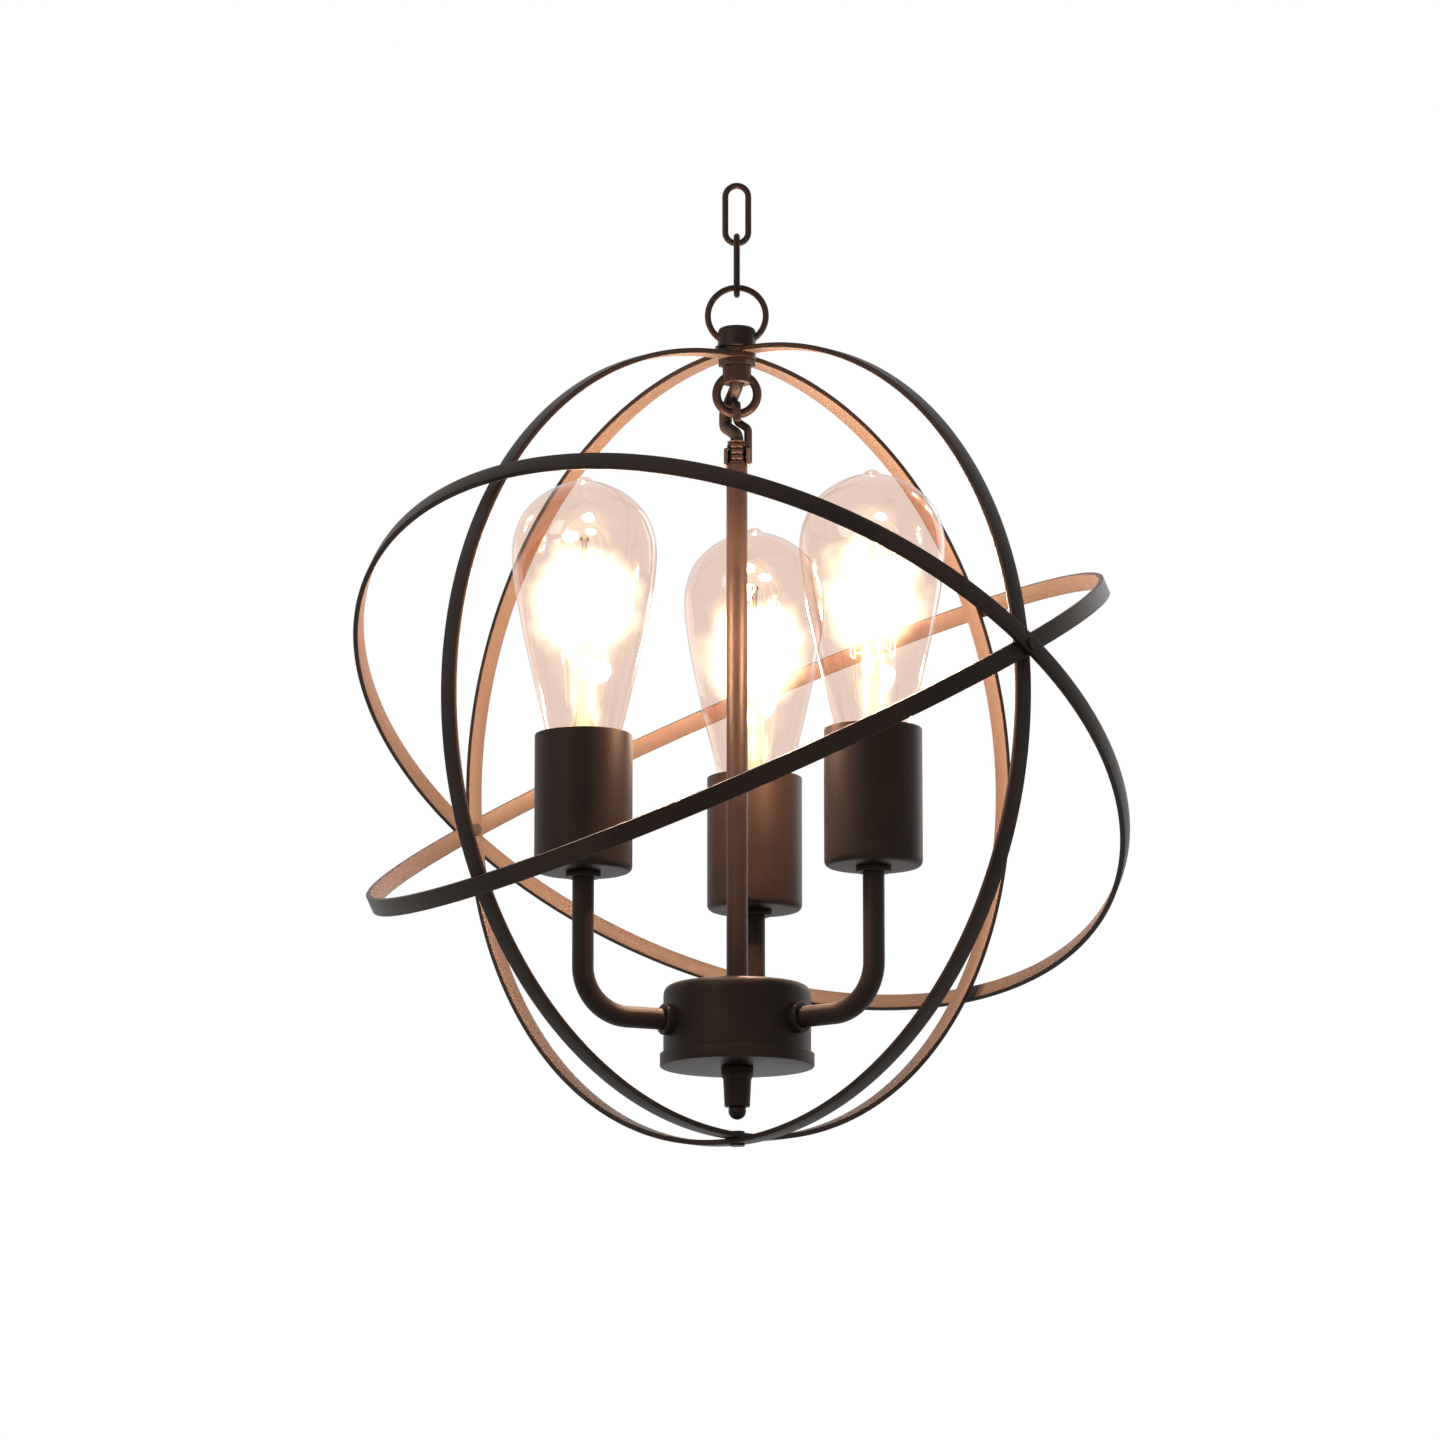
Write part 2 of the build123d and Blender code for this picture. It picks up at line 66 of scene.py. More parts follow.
# %% Heights and widths of the nodes
def box_of(node):
    """The lowest and the highest corner of a CAD node, in mm."""
    spots = [vertex.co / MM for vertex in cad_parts[node].data.vertices]
    return [[pick(spot[i] for spot in spots) for i in range(3)] for pick in (min, max)]


CAGE_MIDDLE = round(sum(corner[2] for corner in box_of("band_c")) / 2, 1)


def heights(node):
    """The lowest and the highest point of a node, in mm from the cage's middle."""
    return [round(corner[2] - CAGE_MIDDLE, 2) for corner in box_of(node)]


BAND_W = 8.0
ZENITH = heights("band_b")[1]
BAND_T = round(ZENITH - heights("band_a")[1], 2)
CAGE_R = round(sqrt(2) * box_of("band_b")[1][0] - BAND_W / 2, 1)
print("cage radius", CAGE_R, "zenith", ZENITH, "strip", BAND_T, "middle at", CAGE_MIDDLE)


def drop(x, y, z):
    """A point in mm, with its height from the cage's middle, as metres in the frame."""
    return Vector((x, y, z + CAGE_MIDDLE)) * MM


def place(x=0, y=0, z=0, turn=None):
    """A matrix that puts a piece modelled about its own middle where it belongs."""
    return Matrix.Translation(drop(x, y, z)) @ (turn or Matrix.Identity(4))


# %% [markdown]
# ## Colour and nodes
#
# Paint charts and picture editors give colours as sRGB hex values, but the renderer
# adds light in linear values, so one function turns the first into the second.
# Every tree below is built with one small function that adds a node, sets its
# properties, and fills or links its sockets.  That keeps a tree readable as text.

# %% Hex colours and one node helper
def colour(code):
    """An sRGB hex code such as #2b2521 as linear red, green, blue and alpha."""
    parts = [int(code[i:i + 2], 16) / 255 for i in (1, 3, 5)]
    linear = [p / 12.92 if p <= 0.04045 else ((p + 0.055) / 1.055) ** 2.4 for p in parts]
    return (*linear, 1.0)


def add(tree, kind, inputs=None, **settings):
    """Add one node; an input is a value or the socket of another node."""
    made = tree.nodes.new(kind)
    for key, value in settings.items():
        setattr(made, key, value)
    for key, value in (inputs or {}).items():
        if isinstance(value, bpy.types.NodeSocket):
            tree.links.new(value, made.inputs[key])
        else:
            made.inputs[key].default_value = value
    return made


def new_material(name):
    """An empty material and its node tree."""
    made = bpy.data.materials.new(name)
    made.use_nodes = True
    made.node_tree.nodes.clear()
    print("finish:", name)
    return made, made.node_tree


MIX_A, MIX_B, MIX_OUT = 6, 7, 2  # a Mix node's colour sockets, by their place in its lists
WHITE = (1, 1, 1, 1)

# %% [markdown]
# ## The finish of the metal
#
# All the steel and brass outside is powder coated in dark bronze, a satin skin that
# sparkles slightly.  Powder melts into a faint orange peel with swells about 1.5 mm
# across, and its shade drifts over a few centimetres.  Real grains are too fine to
# show, so the few lighter ones are drawn 0.9 mm wide.  The eye sees a near-black brown
# that goes grey where it mirrors a white room and copper where a lamp stands close.
# The inner faces of the bands look warmer in the photograph, because the lamps light
# them from close by, so a lighter bronze is painted on them as painted lamp light.
# Those faces are found by their direction, towards the middle of the cage, so a band
# needs only one material.

# %% Dark bronze powder coat
GRAIN_WIDTH = 0.9
DRIFT_WIDTH = 38
PEEL_WIDTH = 1.5
PEEL_DEPTH = 0.05


def bronze_powder_coat(name, painted_inner_light=False):
    """Powder coat; the band kind has less peel and painted lamp light on faces turned inwards.
    """
    made, tree = new_material(name)
    spot = add(tree, "ShaderNodeTexCoord").outputs
    where = spot["Object"]
    grain = add(tree, "ShaderNodeTexNoise",
                {"Vector": where, "Scale": 1 / (GRAIN_WIDTH * MM), "Detail": 2.0})
    drift = add(tree, "ShaderNodeTexNoise",
                {"Vector": where, "Scale": 1 / (DRIFT_WIDTH * MM), "Detail": 3.0})
    tint = add(tree, "ShaderNodeValToRGB", {"Fac": drift.outputs["Fac"]})
    darker, lighter = tint.color_ramp.elements
    darker.position = 0.35
    darker.color = colour("#1a1310")
    lighter.position = 0.65
    lighter.color = colour("#241b16")
    fleck = add(tree, "ShaderNodeMapRange", {
        "Value": grain.outputs["Fac"], "From Min": 0.62, "From Max": 0.8, "To Max": 0.3})
    shade = add(tree, "ShaderNodeMix", {
        "Factor": fleck.outputs["Result"], MIX_A: tint.outputs["Color"],
        MIX_B: colour("#5c4738")}, data_type="RGBA")
    if painted_inner_light:
        # Painted lamp light: faces turned towards the cage's middle are mixed to a lighter
        # bronze.
        out = add(tree, "ShaderNodeVectorMath", {0: where, 1: drop(0, 0, 0)},
                  operation="SUBTRACT")
        ray = add(tree, "ShaderNodeVectorMath", {0: out.outputs["Vector"]},
                  operation="NORMALIZE")
        turned_out = add(tree, "ShaderNodeVectorMath", {
            0: ray.outputs["Vector"], 1: spot["Normal"]}, operation="DOT_PRODUCT")
        inside = add(tree, "ShaderNodeMapRange", {
            "Value": turned_out.outputs["Value"], "From Min": -0.5, "From Max": -0.9})
        shade = add(tree, "ShaderNodeMix", {
            "Factor": inside.outputs["Result"], MIX_A: shade.outputs[MIX_OUT],
            MIX_B: colour("#40362f")}, data_type="RGBA")
    peel = add(tree, "ShaderNodeTexNoise",
               {"Vector": where, "Scale": 1 / (PEEL_WIDTH * MM), "Detail": 1.0})
    rough = add(tree, "ShaderNodeMapRange", {
        "Value": drift.outputs["Fac"], "To Min": 0.40, "To Max": 0.50})
    bump = add(tree, "ShaderNodeBump", {
        "Height": peel.outputs["Fac"], "Strength": 0.04 if painted_inner_light else 0.12,
        "Distance": PEEL_DEPTH * MM})
    skin = add(tree, "ShaderNodeBsdfPrincipled", {
        "Base Color": shade.outputs[MIX_OUT], "Roughness": rough.outputs["Result"],
        "Normal": bump.outputs["Normal"], "Specular IOR Level": 0.14,
        "Specular Tint": colour("#f6dcc9")})
    add(tree, "ShaderNodeOutputMaterial", {"Surface": skin.outputs["BSDF"]})
    return made


bronze = bronze_powder_coat("bronze_powder_coat")
band_bronze = bronze_powder_coat("bronze_powder_coat_rubbed_inside", painted_inner_light=True)

# %% [markdown]
# ## Brass, nickel and moulded parts
#
# A lampholder has a drawn brass screw shell, bright with fine rings of wear, in a
# phenolic body, which is a dark moulded resin with a dull shine.  The lamp's own cap
# is nickel-plated, and its centre contact sits in a glossy bead of black glass.  The
# lead at the hub has a dull, dark brown plastic sleeve.  The metals differ only in
# colour and polish, and so do the moulded parts, so one function makes each kind.

# %% Drawn metals, phenolic resin, bead glass and sleeve
MARK_LENGTH = 4
MARK_SLIMNESS = 12            # a mark is this many times as long as it is wide
MOULD_CLOUD = 6
MOULD_DEPTH = 0.05


def drawn_metal(name, light, dark, rough):
    """A plated or drawn metal: fine rings of handling marks round its axis."""
    made, tree = new_material(name)
    where = add(tree, "ShaderNodeTexCoord").outputs["Object"]
    lines = add(tree, "ShaderNodeMapping",
                {"Vector": where, "Scale": (1, 1, MARK_SLIMNESS)})
    marks = add(tree, "ShaderNodeTexNoise", {
        "Vector": lines.outputs["Vector"], "Scale": 1 / (MARK_LENGTH * MM), "Detail": 4.0})
    shade = add(tree, "ShaderNodeMix", {
        "Factor": marks.outputs["Fac"], MIX_A: colour(dark), MIX_B: colour(light)},
        data_type="RGBA")
    spread = add(tree, "ShaderNodeMapRange", {
        "Value": marks.outputs["Fac"], "To Min": rough - 0.06, "To Max": rough + 0.1})
    skin = add(tree, "ShaderNodeBsdfPrincipled", {
        "Base Color": shade.outputs[MIX_OUT], "Roughness": spread.outputs["Result"],
        "Metallic": 1.0})
    add(tree, "ShaderNodeOutputMaterial", {"Surface": skin.outputs["BSDF"]})
    return made


def moulded(name, shade_1, shade_2, rough, shine=0.5):
    """Moulded resin, a fused bead or a plastic sleeve: nearly even, faintly textured."""
    made, tree = new_material(name)
    where = add(tree, "ShaderNodeTexCoord").outputs["Object"]
    cloud = add(tree, "ShaderNodeTexNoise",
                {"Vector": where, "Scale": 1 / (MOULD_CLOUD * MM), "Detail": 3.0})
    shade = add(tree, "ShaderNodeMix", {
        "Factor": cloud.outputs["Fac"], MIX_A: colour(shade_1), MIX_B: colour(shade_2)},
        data_type="RGBA")
    bump = add(tree, "ShaderNodeBump", {
        "Height": cloud.outputs["Fac"], "Strength": 0.1, "Distance": MOULD_DEPTH * MM})
    skin = add(tree, "ShaderNodeBsdfPrincipled", {
        "Base Color": shade.outputs[MIX_OUT], "Roughness": rough,
        "Normal": bump.outputs["Normal"], "Specular IOR Level": shine})
    add(tree, "ShaderNodeOutputMaterial", {"Surface": skin.outputs["BSDF"]})
    return made


brass = drawn_metal("drawn_brass", "#c9a25c", "#a98243", 0.28)
nickel = drawn_metal("plated_nickel", "#d5d2cb", "#b4b0a8", 0.22)
resin = moulded("phenolic_resin", "#1b1917", "#262320", 0.45)
bead = moulded("bead_glass", "#0d0d10", "#17171b", 0.12)
sleeve = moulded("lead_sleeve", "#1d1510", "#261b14", 0.55, shine=0.2)

# %% [markdown]
# ## Lamp glass and its glow
#
# The envelope is thin soda-lime glass with a faint amber tint.  Such a wall hardly
# bends light, so it is drawn as a clear skin that is darker where it is seen edge-on,
# with a gloss that grows towards the rim.  It also lets the light of the filament out
# without caustics.  A lit lamp is too bright for a camera, and its light spreads in
# the lens.  Here the gas fill glows instead, round the filament and in a thinner
# column down the glass stem.  A little noise moves the border of the glow, because
# the wires of the filament are never even.

# %% Clear glass with a glowing fill
FACE_GLOSS = 0.04             # the share of light that the glass mirrors face-on
RIM_GLOSS = 0.7               # what is added to that share at the rim
RIM_STEEPNESS = 5.0
GLOW_HEIGHT, GLOW_HALF = 57, (23, 23, 25)  # middle and half sizes of the glow
COLUMN_HEIGHT, COLUMN_HALF = 22, (7, 7, 38)  # the same for the column under it
GLOW_POWER = 130.0
WANDER = 0.22                 # how far the border moves, as a share of the glow's size
WANDER_WIDTH = 15


def glow_distance(tree, where, middle, half, wander):
    """Distance from the middle of a glowing egg, 1 at its border, with some wander."""
    local = add(tree, "ShaderNodeVectorMath", {0: where, 1: middle}, operation="SUBTRACT")
    egg = add(tree, "ShaderNodeVectorMath", {
        0: local.outputs["Vector"], 1: tuple(1 / (size * MM) for size in half)},
        operation="MULTIPLY")
    far = add(tree, "ShaderNodeVectorMath", {0: egg.outputs["Vector"]}, operation="LENGTH")
    moved = add(tree, "ShaderNodeMath", {0: far.outputs["Value"], 1: wander}, operation="ADD")
    return moved.outputs["Value"]


def glass_wall(tree):
    """The clear skin: tinted and glossy towards the rim.  Returns its shader."""
    facing = add(tree, "ShaderNodeLayerWeight", {"Blend": 0.5}).outputs["Facing"]
    rim = add(tree, "ShaderNodeMapRange", {
        "Value": facing, "From Min": 0.72, "From Max": 1.0, "To Min": 0.0, "To Max": 1.0},
        interpolation_type="SMOOTHSTEP")
    tint = add(tree, "ShaderNodeMix", {
        "Factor": rim.outputs["Result"], MIX_A: colour("#f2e3da"), MIX_B: colour("#cdb8aa")},
        data_type="RGBA")
    clear = add(tree, "ShaderNodeBsdfTransparent", {"Color": tint.outputs[MIX_OUT]})
    gloss = add(tree, "ShaderNodeBsdfGlossy", {"Color": WHITE, "Roughness": 0.05})
    steep = add(tree, "ShaderNodeMath", {0: facing, 1: RIM_STEEPNESS}, operation="POWER")
    mirror = add(tree, "ShaderNodeMath", {
        0: steep.outputs["Value"], 1: RIM_GLOSS, 2: FACE_GLOSS}, operation="MULTIPLY_ADD")
    wall = add(tree, "ShaderNodeMixShader", {
        "Fac": mirror.outputs["Value"], 1: clear.outputs["BSDF"], 2: gloss.outputs["BSDF"]})
    return wall.outputs["Shader"]


def lamp_glass(number, axis):
    """The envelope of one lamp with its glow; the axis is a point in metres."""
    made, tree = new_material(f"lamp_glass_{number}")
    where = add(tree, "ShaderNodeTexCoord").outputs["Object"]
    flicker = add(tree, "ShaderNodeTexNoise", {
        "Vector": where, "Scale": 1 / (WANDER_WIDTH * MM), "Detail": 1.5})
    wander = add(tree, "ShaderNodeMapRange", {
        "Value": flicker.outputs["Fac"], "From Min": 0.3, "From Max": 0.7,
        "To Min": -WANDER, "To Max": WANDER}).outputs["Result"]
    ball, column = [
        glow_distance(tree, where, axis + Vector((0, 0, height * MM)), half, wander)
        for height, half in ((GLOW_HEIGHT, GLOW_HALF), (COLUMN_HEIGHT, COLUMN_HALF))]
    nearer = add(tree, "ShaderNodeMath", {0: ball, 1: column}, operation="MINIMUM")
    fade = add(tree, "ShaderNodeMapRange", {
        "Value": nearer.outputs["Value"], "From Min": 0.55, "From Max": 1.15,
        "To Min": 1.0, "To Max": 0.0}, interpolation_type="SMOOTHSTEP")
    power = add(tree, "ShaderNodeMath", {0: fade.outputs["Result"], 1: GLOW_POWER},
                operation="MULTIPLY")
    glow = add(tree, "ShaderNodeEmission", {
        "Color": colour("#ffedc0"), "Strength": power.outputs["Value"]})
    add(tree, "ShaderNodeOutputMaterial", {
        "Surface": glass_wall(tree), "Volume": glow.outputs["Emission"]})
    return made


# %% [markdown]
# ## The filament and the glass that carries it
#
# The filament is drawn tungsten wire, a grey metal that glows yellow while it is lit.
# The glow's colour wanders a little, because the wire is hottest between its hooks.
# The mount is clear pressed glass.  It is thick, but bent light would hardly show
# inside the glow, so it is a clear skin as well, with a gloss that follows from the
# refractive index of glass.

# %% Tungsten and mount glass
HEAT_WIDTH = 9
GLASS_IOR = 1.5


def glowing_wire():
    """Lit tungsten."""
    made, tree = new_material("tungsten_filament")
    where = add(tree, "ShaderNodeTexCoord").outputs["Object"]
    heat = add(tree, "ShaderNodeTexNoise", {"Vector": where, "Scale": 1 / (HEAT_WIDTH * MM)})
    shade = add(tree, "ShaderNodeMix", {
        "Factor": heat.outputs["Fac"], MIX_A: colour("#ffb45a"), MIX_B: colour("#ffd991")},
        data_type="RGBA")
    skin = add(tree, "ShaderNodeBsdfPrincipled", {
        "Base Color": colour("#6f6a66"), "Metallic": 1.0, "Roughness": 0.4,
        "Emission Color": shade.outputs[MIX_OUT], "Emission Strength": 14.0})
    add(tree, "ShaderNodeOutputMaterial", {"Surface": skin.outputs["BSDF"]})
    return made


def mount_glass():
    """Clear pressed glass."""
    made, tree = new_material("mount_glass")
    edge = add(tree, "ShaderNodeFresnel", {"IOR": GLASS_IOR})
    clear = add(tree, "ShaderNodeBsdfTransparent", {"Color": colour("#e9e6e1")})
    gloss = add(tree, "ShaderNodeBsdfGlossy", {"Roughness": 0.08})
    wall = add(tree, "ShaderNodeMixShader", {
        "Fac": edge.outputs["Fac"], 1: clear.outputs["BSDF"], 2: gloss.outputs["BSDF"]})
    add(tree, "ShaderNodeOutputMaterial", {"Surface": wall.outputs["Shader"]})
    return made


tungsten = glowing_wire()
stem_glass = mount_glass()

# %% [markdown]
# ## Turned pieces
#
# Cups, drum, cap, finial and lamps are all turned or spun shapes: one outline, swung
# round an axis.  A mesh of rings made straight from the outline keeps every ring true,
# and corners of the outline are rounded first, because real edges are never sharp.

# %% Round the corners of an outline
def rounded(corners, steps=4):
    """Corners are (radius, height, edge rounding) in mm; returns plain points."""
    points = []
    count = len(corners)
    for i, (r, z, edge) in enumerate(corners):
        here = Vector((r, z))
        before = Vector(corners[i - 1][:2]) - here
        after = Vector(corners[(i + 1) % count][:2]) - here
        reach = min(edge, before.length * 0.45, after.length * 0.45)
        if reach <= 0 or r == 0:
            points.append((r, z))
            continue
        a = here + before.normalized() * reach
        b = here + after.normalized() * reach
        for k in range(steps + 1):
            t = k / steps
            spot = a * (1 - t) ** 2 + here * 2 * t * (1 - t) + b * t ** 2
            points.append((spot.x, spot.y))
    return points


# %% Finish a mesh and make it a piece
SMOOTH_BELOW = 35             # degrees; a sharper edge than this stays an edge
WELD = 0.002                  # mm; points nearer than this become one


def finish_mesh(mesh, material, smooth_below=SMOOTH_BELOW):
    """Point the faces outwards, shade them smooth up to an angle, and give a finish."""
    work = bmesh.new()
    work.from_mesh(mesh)
    bmesh.ops.remove_doubles(work, verts=work.verts, dist=WELD * MM)
    bmesh.ops.recalc_face_normals(work, faces=work.faces)
    work.to_mesh(mesh)
    work.free()
    mesh.shade_smooth()
    mesh.set_sharp_from_angle(angle=radians(smooth_below))
    mesh.materials.clear()
    mesh.materials.append(material)


def piece(name, mesh, body, nodes=()):
    """Make a mesh an object that rides on a body and stands for its CAD nodes."""
    made = bpy.data.objects.new(name, mesh)
    bpy.context.collection.objects.link(made)
    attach(made, body)
    if nodes:
        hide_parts(*nodes)
    print(f"{name}: {len(mesh.polygons)} faces")


# %% Swing an outline round its axis
ON_AXIS = 1e-6                # mm; a ring smaller than this is one point


def turned(name, outline, material, around=128, where=None, smooth_below=SMOOTH_BELOW):
    """A closed solid of revolution from a closed outline of (radius, height) in mm."""
    work = bmesh.new()
    rings = []
    for r, z in outline:
        if r < ON_AXIS:
            rings.append([work.verts.new((0, 0, z * MM))] * around)
            continue
        ring = []
        for k in range(around):
            a = 2 * pi * k / around
            ring.append(work.verts.new((r * cos(a) * MM, r * sin(a) * MM, z * MM)))
        rings.append(ring)
    for low, high in zip(rings, rings[1:] + rings[:1]):
        if low[0] == low[1] and high[0] == high[1]:
            continue
        for k in range(around):
            n = (k + 1) % around
            face = list(dict.fromkeys([low[k], low[n], high[n], high[k]]))
            if len(face) > 2:
                work.faces.new(face)
    mesh = bpy.data.meshes.new(name)
    work.to_mesh(mesh)
    work.free()
    finish_mesh(mesh, material, smooth_below)
    mesh.transform(where or Matrix.Identity(4))
    return mesh


def bronze_turning(name, outline, body, nodes=(), around=128):
    """A bronze piece turned about the light's own centre line."""
    mesh = turned(name, outline, bronze, around, place())
    piece(name, mesh, body, nodes)


# %% [markdown]
# ## Growing meshes with Geometry Nodes
#
# Bands, links, rings and bent tubes all follow a path with one section, so each kind
# is one node tree with its sizes as inputs.  The grown result is turned into a plain
# mesh, because an export keeps no modifiers, and the helper object goes.

# %% Run a node tree once and keep its mesh
def new_tree(name, sizes, takes_geometry=False):
    """A node tree with a named input for each size, and the sockets of its inputs."""
    tree = bpy.data.node_groups.new(name, "GeometryNodeTree")
    if takes_geometry:
        tree.interface.new_socket("Geometry", in_out="INPUT", socket_type="NodeSocketGeometry")
    for label, value in sizes.items():
        kind = "NodeSocketInt" if isinstance(value, int) else "NodeSocketFloat"
        socket = tree.interface.new_socket(label, in_out="INPUT", socket_type=kind)
        socket.default_value = value
    tree.interface.new_socket("Material", in_out="INPUT", socket_type="NodeSocketMaterial")
    tree.interface.new_socket("Geometry", in_out="OUTPUT", socket_type="NodeSocketGeometry")
    print(f"tree '{name}' takes {', '.join(sizes)}")
    return tree, add(tree, "NodeGroupInput").outputs


def end_tree(tree, shape, material):
    """Make copies real, give them their material and put them out."""
    real = add(tree, "GeometryNodeRealizeInstances", {"Geometry": shape})
    dressed = add(tree, "GeometryNodeSetMaterial", {
        "Geometry": real.outputs["Geometry"], "Material": material})
    add(tree, "NodeGroupOutput", {0: dressed.outputs["Geometry"]})


def grow(name, tree, material, sizes=None, base=None, where=None):
    """Evaluate the tree on a base object and keep the result as a plain mesh."""
    data = base if base is not None else bpy.data.meshes.new(name + "_seed")
    helper = bpy.data.objects.new(name + "_helper", data)
    bpy.context.collection.objects.link(helper)
    modifier = helper.modifiers.new("grow", "NODES")
    modifier.node_group = tree
    named = {item.name: item.identifier for item in tree.interface.items_tree
             if item.in_out == "INPUT"}
    modifier[named["Material"]] = material
    for label, value in (sizes or {}).items():
        modifier[named[label]] = value
    depsgraph = bpy.context.evaluated_depsgraph_get()
    mesh = bpy.data.meshes.new_from_object(helper.evaluated_get(depsgraph))
    bpy.data.objects.remove(helper)
    mesh.name = name
    finish_mesh(mesh, material)
    mesh.transform(where or Matrix.Identity(4))
    return mesh


# %% [markdown]
# ## Chain links and rings
#
# A chain link is round wire bent to a stadium and welded.  In nodes it is a rectangle
# whose corners are filleted until the short sides all but vanish, with a circle
# carried round it.  The same tree with equal sides makes the rings, so they need no
# tree of their own.

# %% The wire loop tree
WIRE = 2.8
JUST_UNDER_HALF = 0.49999     # a full half would leave sides of no length


def wire_loop_tree():
    """A closed loop of round wire in the XY plane, from its outside sizes."""
    tree, sizes = new_tree("wire loop", {
        "Length": 30 * MM, "Width": 13 * MM, "Wire": WIRE * MM})
    long_mid = add(tree, "ShaderNodeMath", {0: sizes["Length"], 1: sizes["Wire"]},
                   operation="SUBTRACT")
    wide_mid = add(tree, "ShaderNodeMath", {0: sizes["Width"], 1: sizes["Wire"]},
                   operation="SUBTRACT")
    corner = add(tree, "ShaderNodeMath", {0: wide_mid.outputs["Value"], 1: JUST_UNDER_HALF},
                 operation="MULTIPLY")
    rectangle = add(tree, "GeometryNodeCurvePrimitiveQuadrilateral", {
        "Width": wide_mid.outputs["Value"], "Height": long_mid.outputs["Value"]})
    path = add(tree, "GeometryNodeFilletCurve", {
        "Curve": rectangle.outputs["Curve"], "Radius": corner.outputs["Value"],
        "Count": 24, "Limit Radius": True}, mode="POLY")
    half = add(tree, "ShaderNodeMath", {0: sizes["Wire"], 1: 0.5}, operation="MULTIPLY")
    section = add(tree, "GeometryNodeCurvePrimitiveCircle", {
        "Resolution": 32, "Radius": half.outputs["Value"]})
    wire = add(tree, "GeometryNodeCurveToMesh", {
        "Curve": path.outputs["Curve"], "Profile Curve": section.outputs["Curve"]})
    end_tree(tree, wire.outputs["Mesh"], sizes["Material"])
    return tree


wire_loop = wire_loop_tree()


def wire_piece(name, length, width, wire, middle, turn, body, nodes=()):
    """A loop of bronze wire on the light's centre line, from its sizes in mm."""
    sizes = {"Length": length * MM, "Width": width * MM, "Wire": wire * MM}
    mesh = grow(name, wire_loop, bronze, sizes, where=place(z=middle, turn=turn))
    piece(name, mesh, body, nodes)


# %% Two links and the ring below them
LINK_LENGTH, LINK_WIDTH = 29.58, 13.1
RING_D = 28.8
face_on = Matrix.Rotation(radians(90), 4, "X")
edge_on = Matrix.Rotation(radians(90), 4, "Z") @ face_on
for name, length, width, middle, turn, node in (
    ("top_chain_link", LINK_LENGTH, LINK_WIDTH, 241.8, face_on, "top_link"),
    ("second_chain_link", LINK_LENGTH, LINK_WIDTH, 218.1, edge_on, "mid_link"),
    ("hanging_ring", RING_D, RING_D, 194.8, face_on, "top_ring"),
):
    wire_piece(name, length, width, WIRE, middle, turn, node, [node])

# %% [markdown]
# ## The four bands
#
# Each band is flat strip, 8 mm by 2.4 mm, rolled to a ring.  Strip is slit from sheet
# and tumbled, so its edges are slightly round and catch a thin line of light.  The
# upright bands are a little taller than wide, the turning ones are round.  A section
# carried along a stretched circle makes both kinds.  A finished ring that is stretched
# would have thicker strip at the top than at its sides.

# %% The flat band tree
STRIP_EDGE = 0.4


def flat_band_tree():
    """A ring of flat strip in the XY plane, from the half sizes of its middle line."""
    tree, sizes = new_tree("flat band", {
        "Half width": 175 * MM, "Half height": 178 * MM, "Strip": BAND_W * MM,
        "Thickness": BAND_T * MM, "Edge": STRIP_EDGE * MM})
    circle = add(tree, "GeometryNodeCurvePrimitiveCircle", {"Resolution": 384, "Radius": 1.0})
    stretch = add(tree, "ShaderNodeCombineXYZ", {
        "X": sizes["Half width"], "Y": sizes["Half height"], "Z": 1.0})
    oval = add(tree, "GeometryNodeTransform", {
        "Geometry": circle.outputs["Curve"], "Scale": stretch.outputs["Vector"]})
    steady = add(tree, "GeometryNodeSetCurveNormal", {"Curve": oval.outputs["Geometry"]},
                 mode="Z_UP")
    slab = add(tree, "GeometryNodeCurvePrimitiveQuadrilateral", {
        "Width": sizes["Thickness"], "Height": sizes["Strip"]})
    section = add(tree, "GeometryNodeFilletCurve", {
        "Curve": slab.outputs["Curve"], "Radius": sizes["Edge"], "Count": 3,
        "Limit Radius": True}, mode="POLY")
    strip = add(tree, "GeometryNodeCurveToMesh", {
        "Curve": steady.outputs["Curve"], "Profile Curve": section.outputs["Curve"]})
    end_tree(tree, strip.outputs["Mesh"], sizes["Material"])
    return tree


flat_band = flat_band_tree()


def axes_matrix(x_axis, y_axis):
    """A matrix whose X and Y columns are the given directions."""
    x, y = Vector(x_axis).normalized(), Vector(y_axis).normalized()
    z = x.cross(y)
    return Matrix((x, y, z)).transposed().to_4x4()


def band(letter, name, outer_width, outer_height, x_axis, y_axis, body):
    """A band from its outer half width and half height in mm, in the plane of two axes."""
    sizes = {"Half width": (outer_width - BAND_T / 2) * MM, "Strip": BAND_W * MM,
             "Half height": (outer_height - BAND_T / 2) * MM, "Thickness": BAND_T * MM}
    mesh = grow(name, flat_band, band_bronze, sizes,
                where=place(turn=axes_matrix(x_axis, y_axis)))
    piece(name, mesh, body, [f"band_{letter}"])


# %% [markdown]
# ## Two upright bands and two that turn
#
# Bands A and B stand across each other, halfway between the frame's axes.  C and D
# turn about a line that lies in band B's plane and rises a little from level.  Each is
# a strip's thickness and a running gap larger in radius than the band inside it, so
# that they pass, and one loop makes both from that rule.

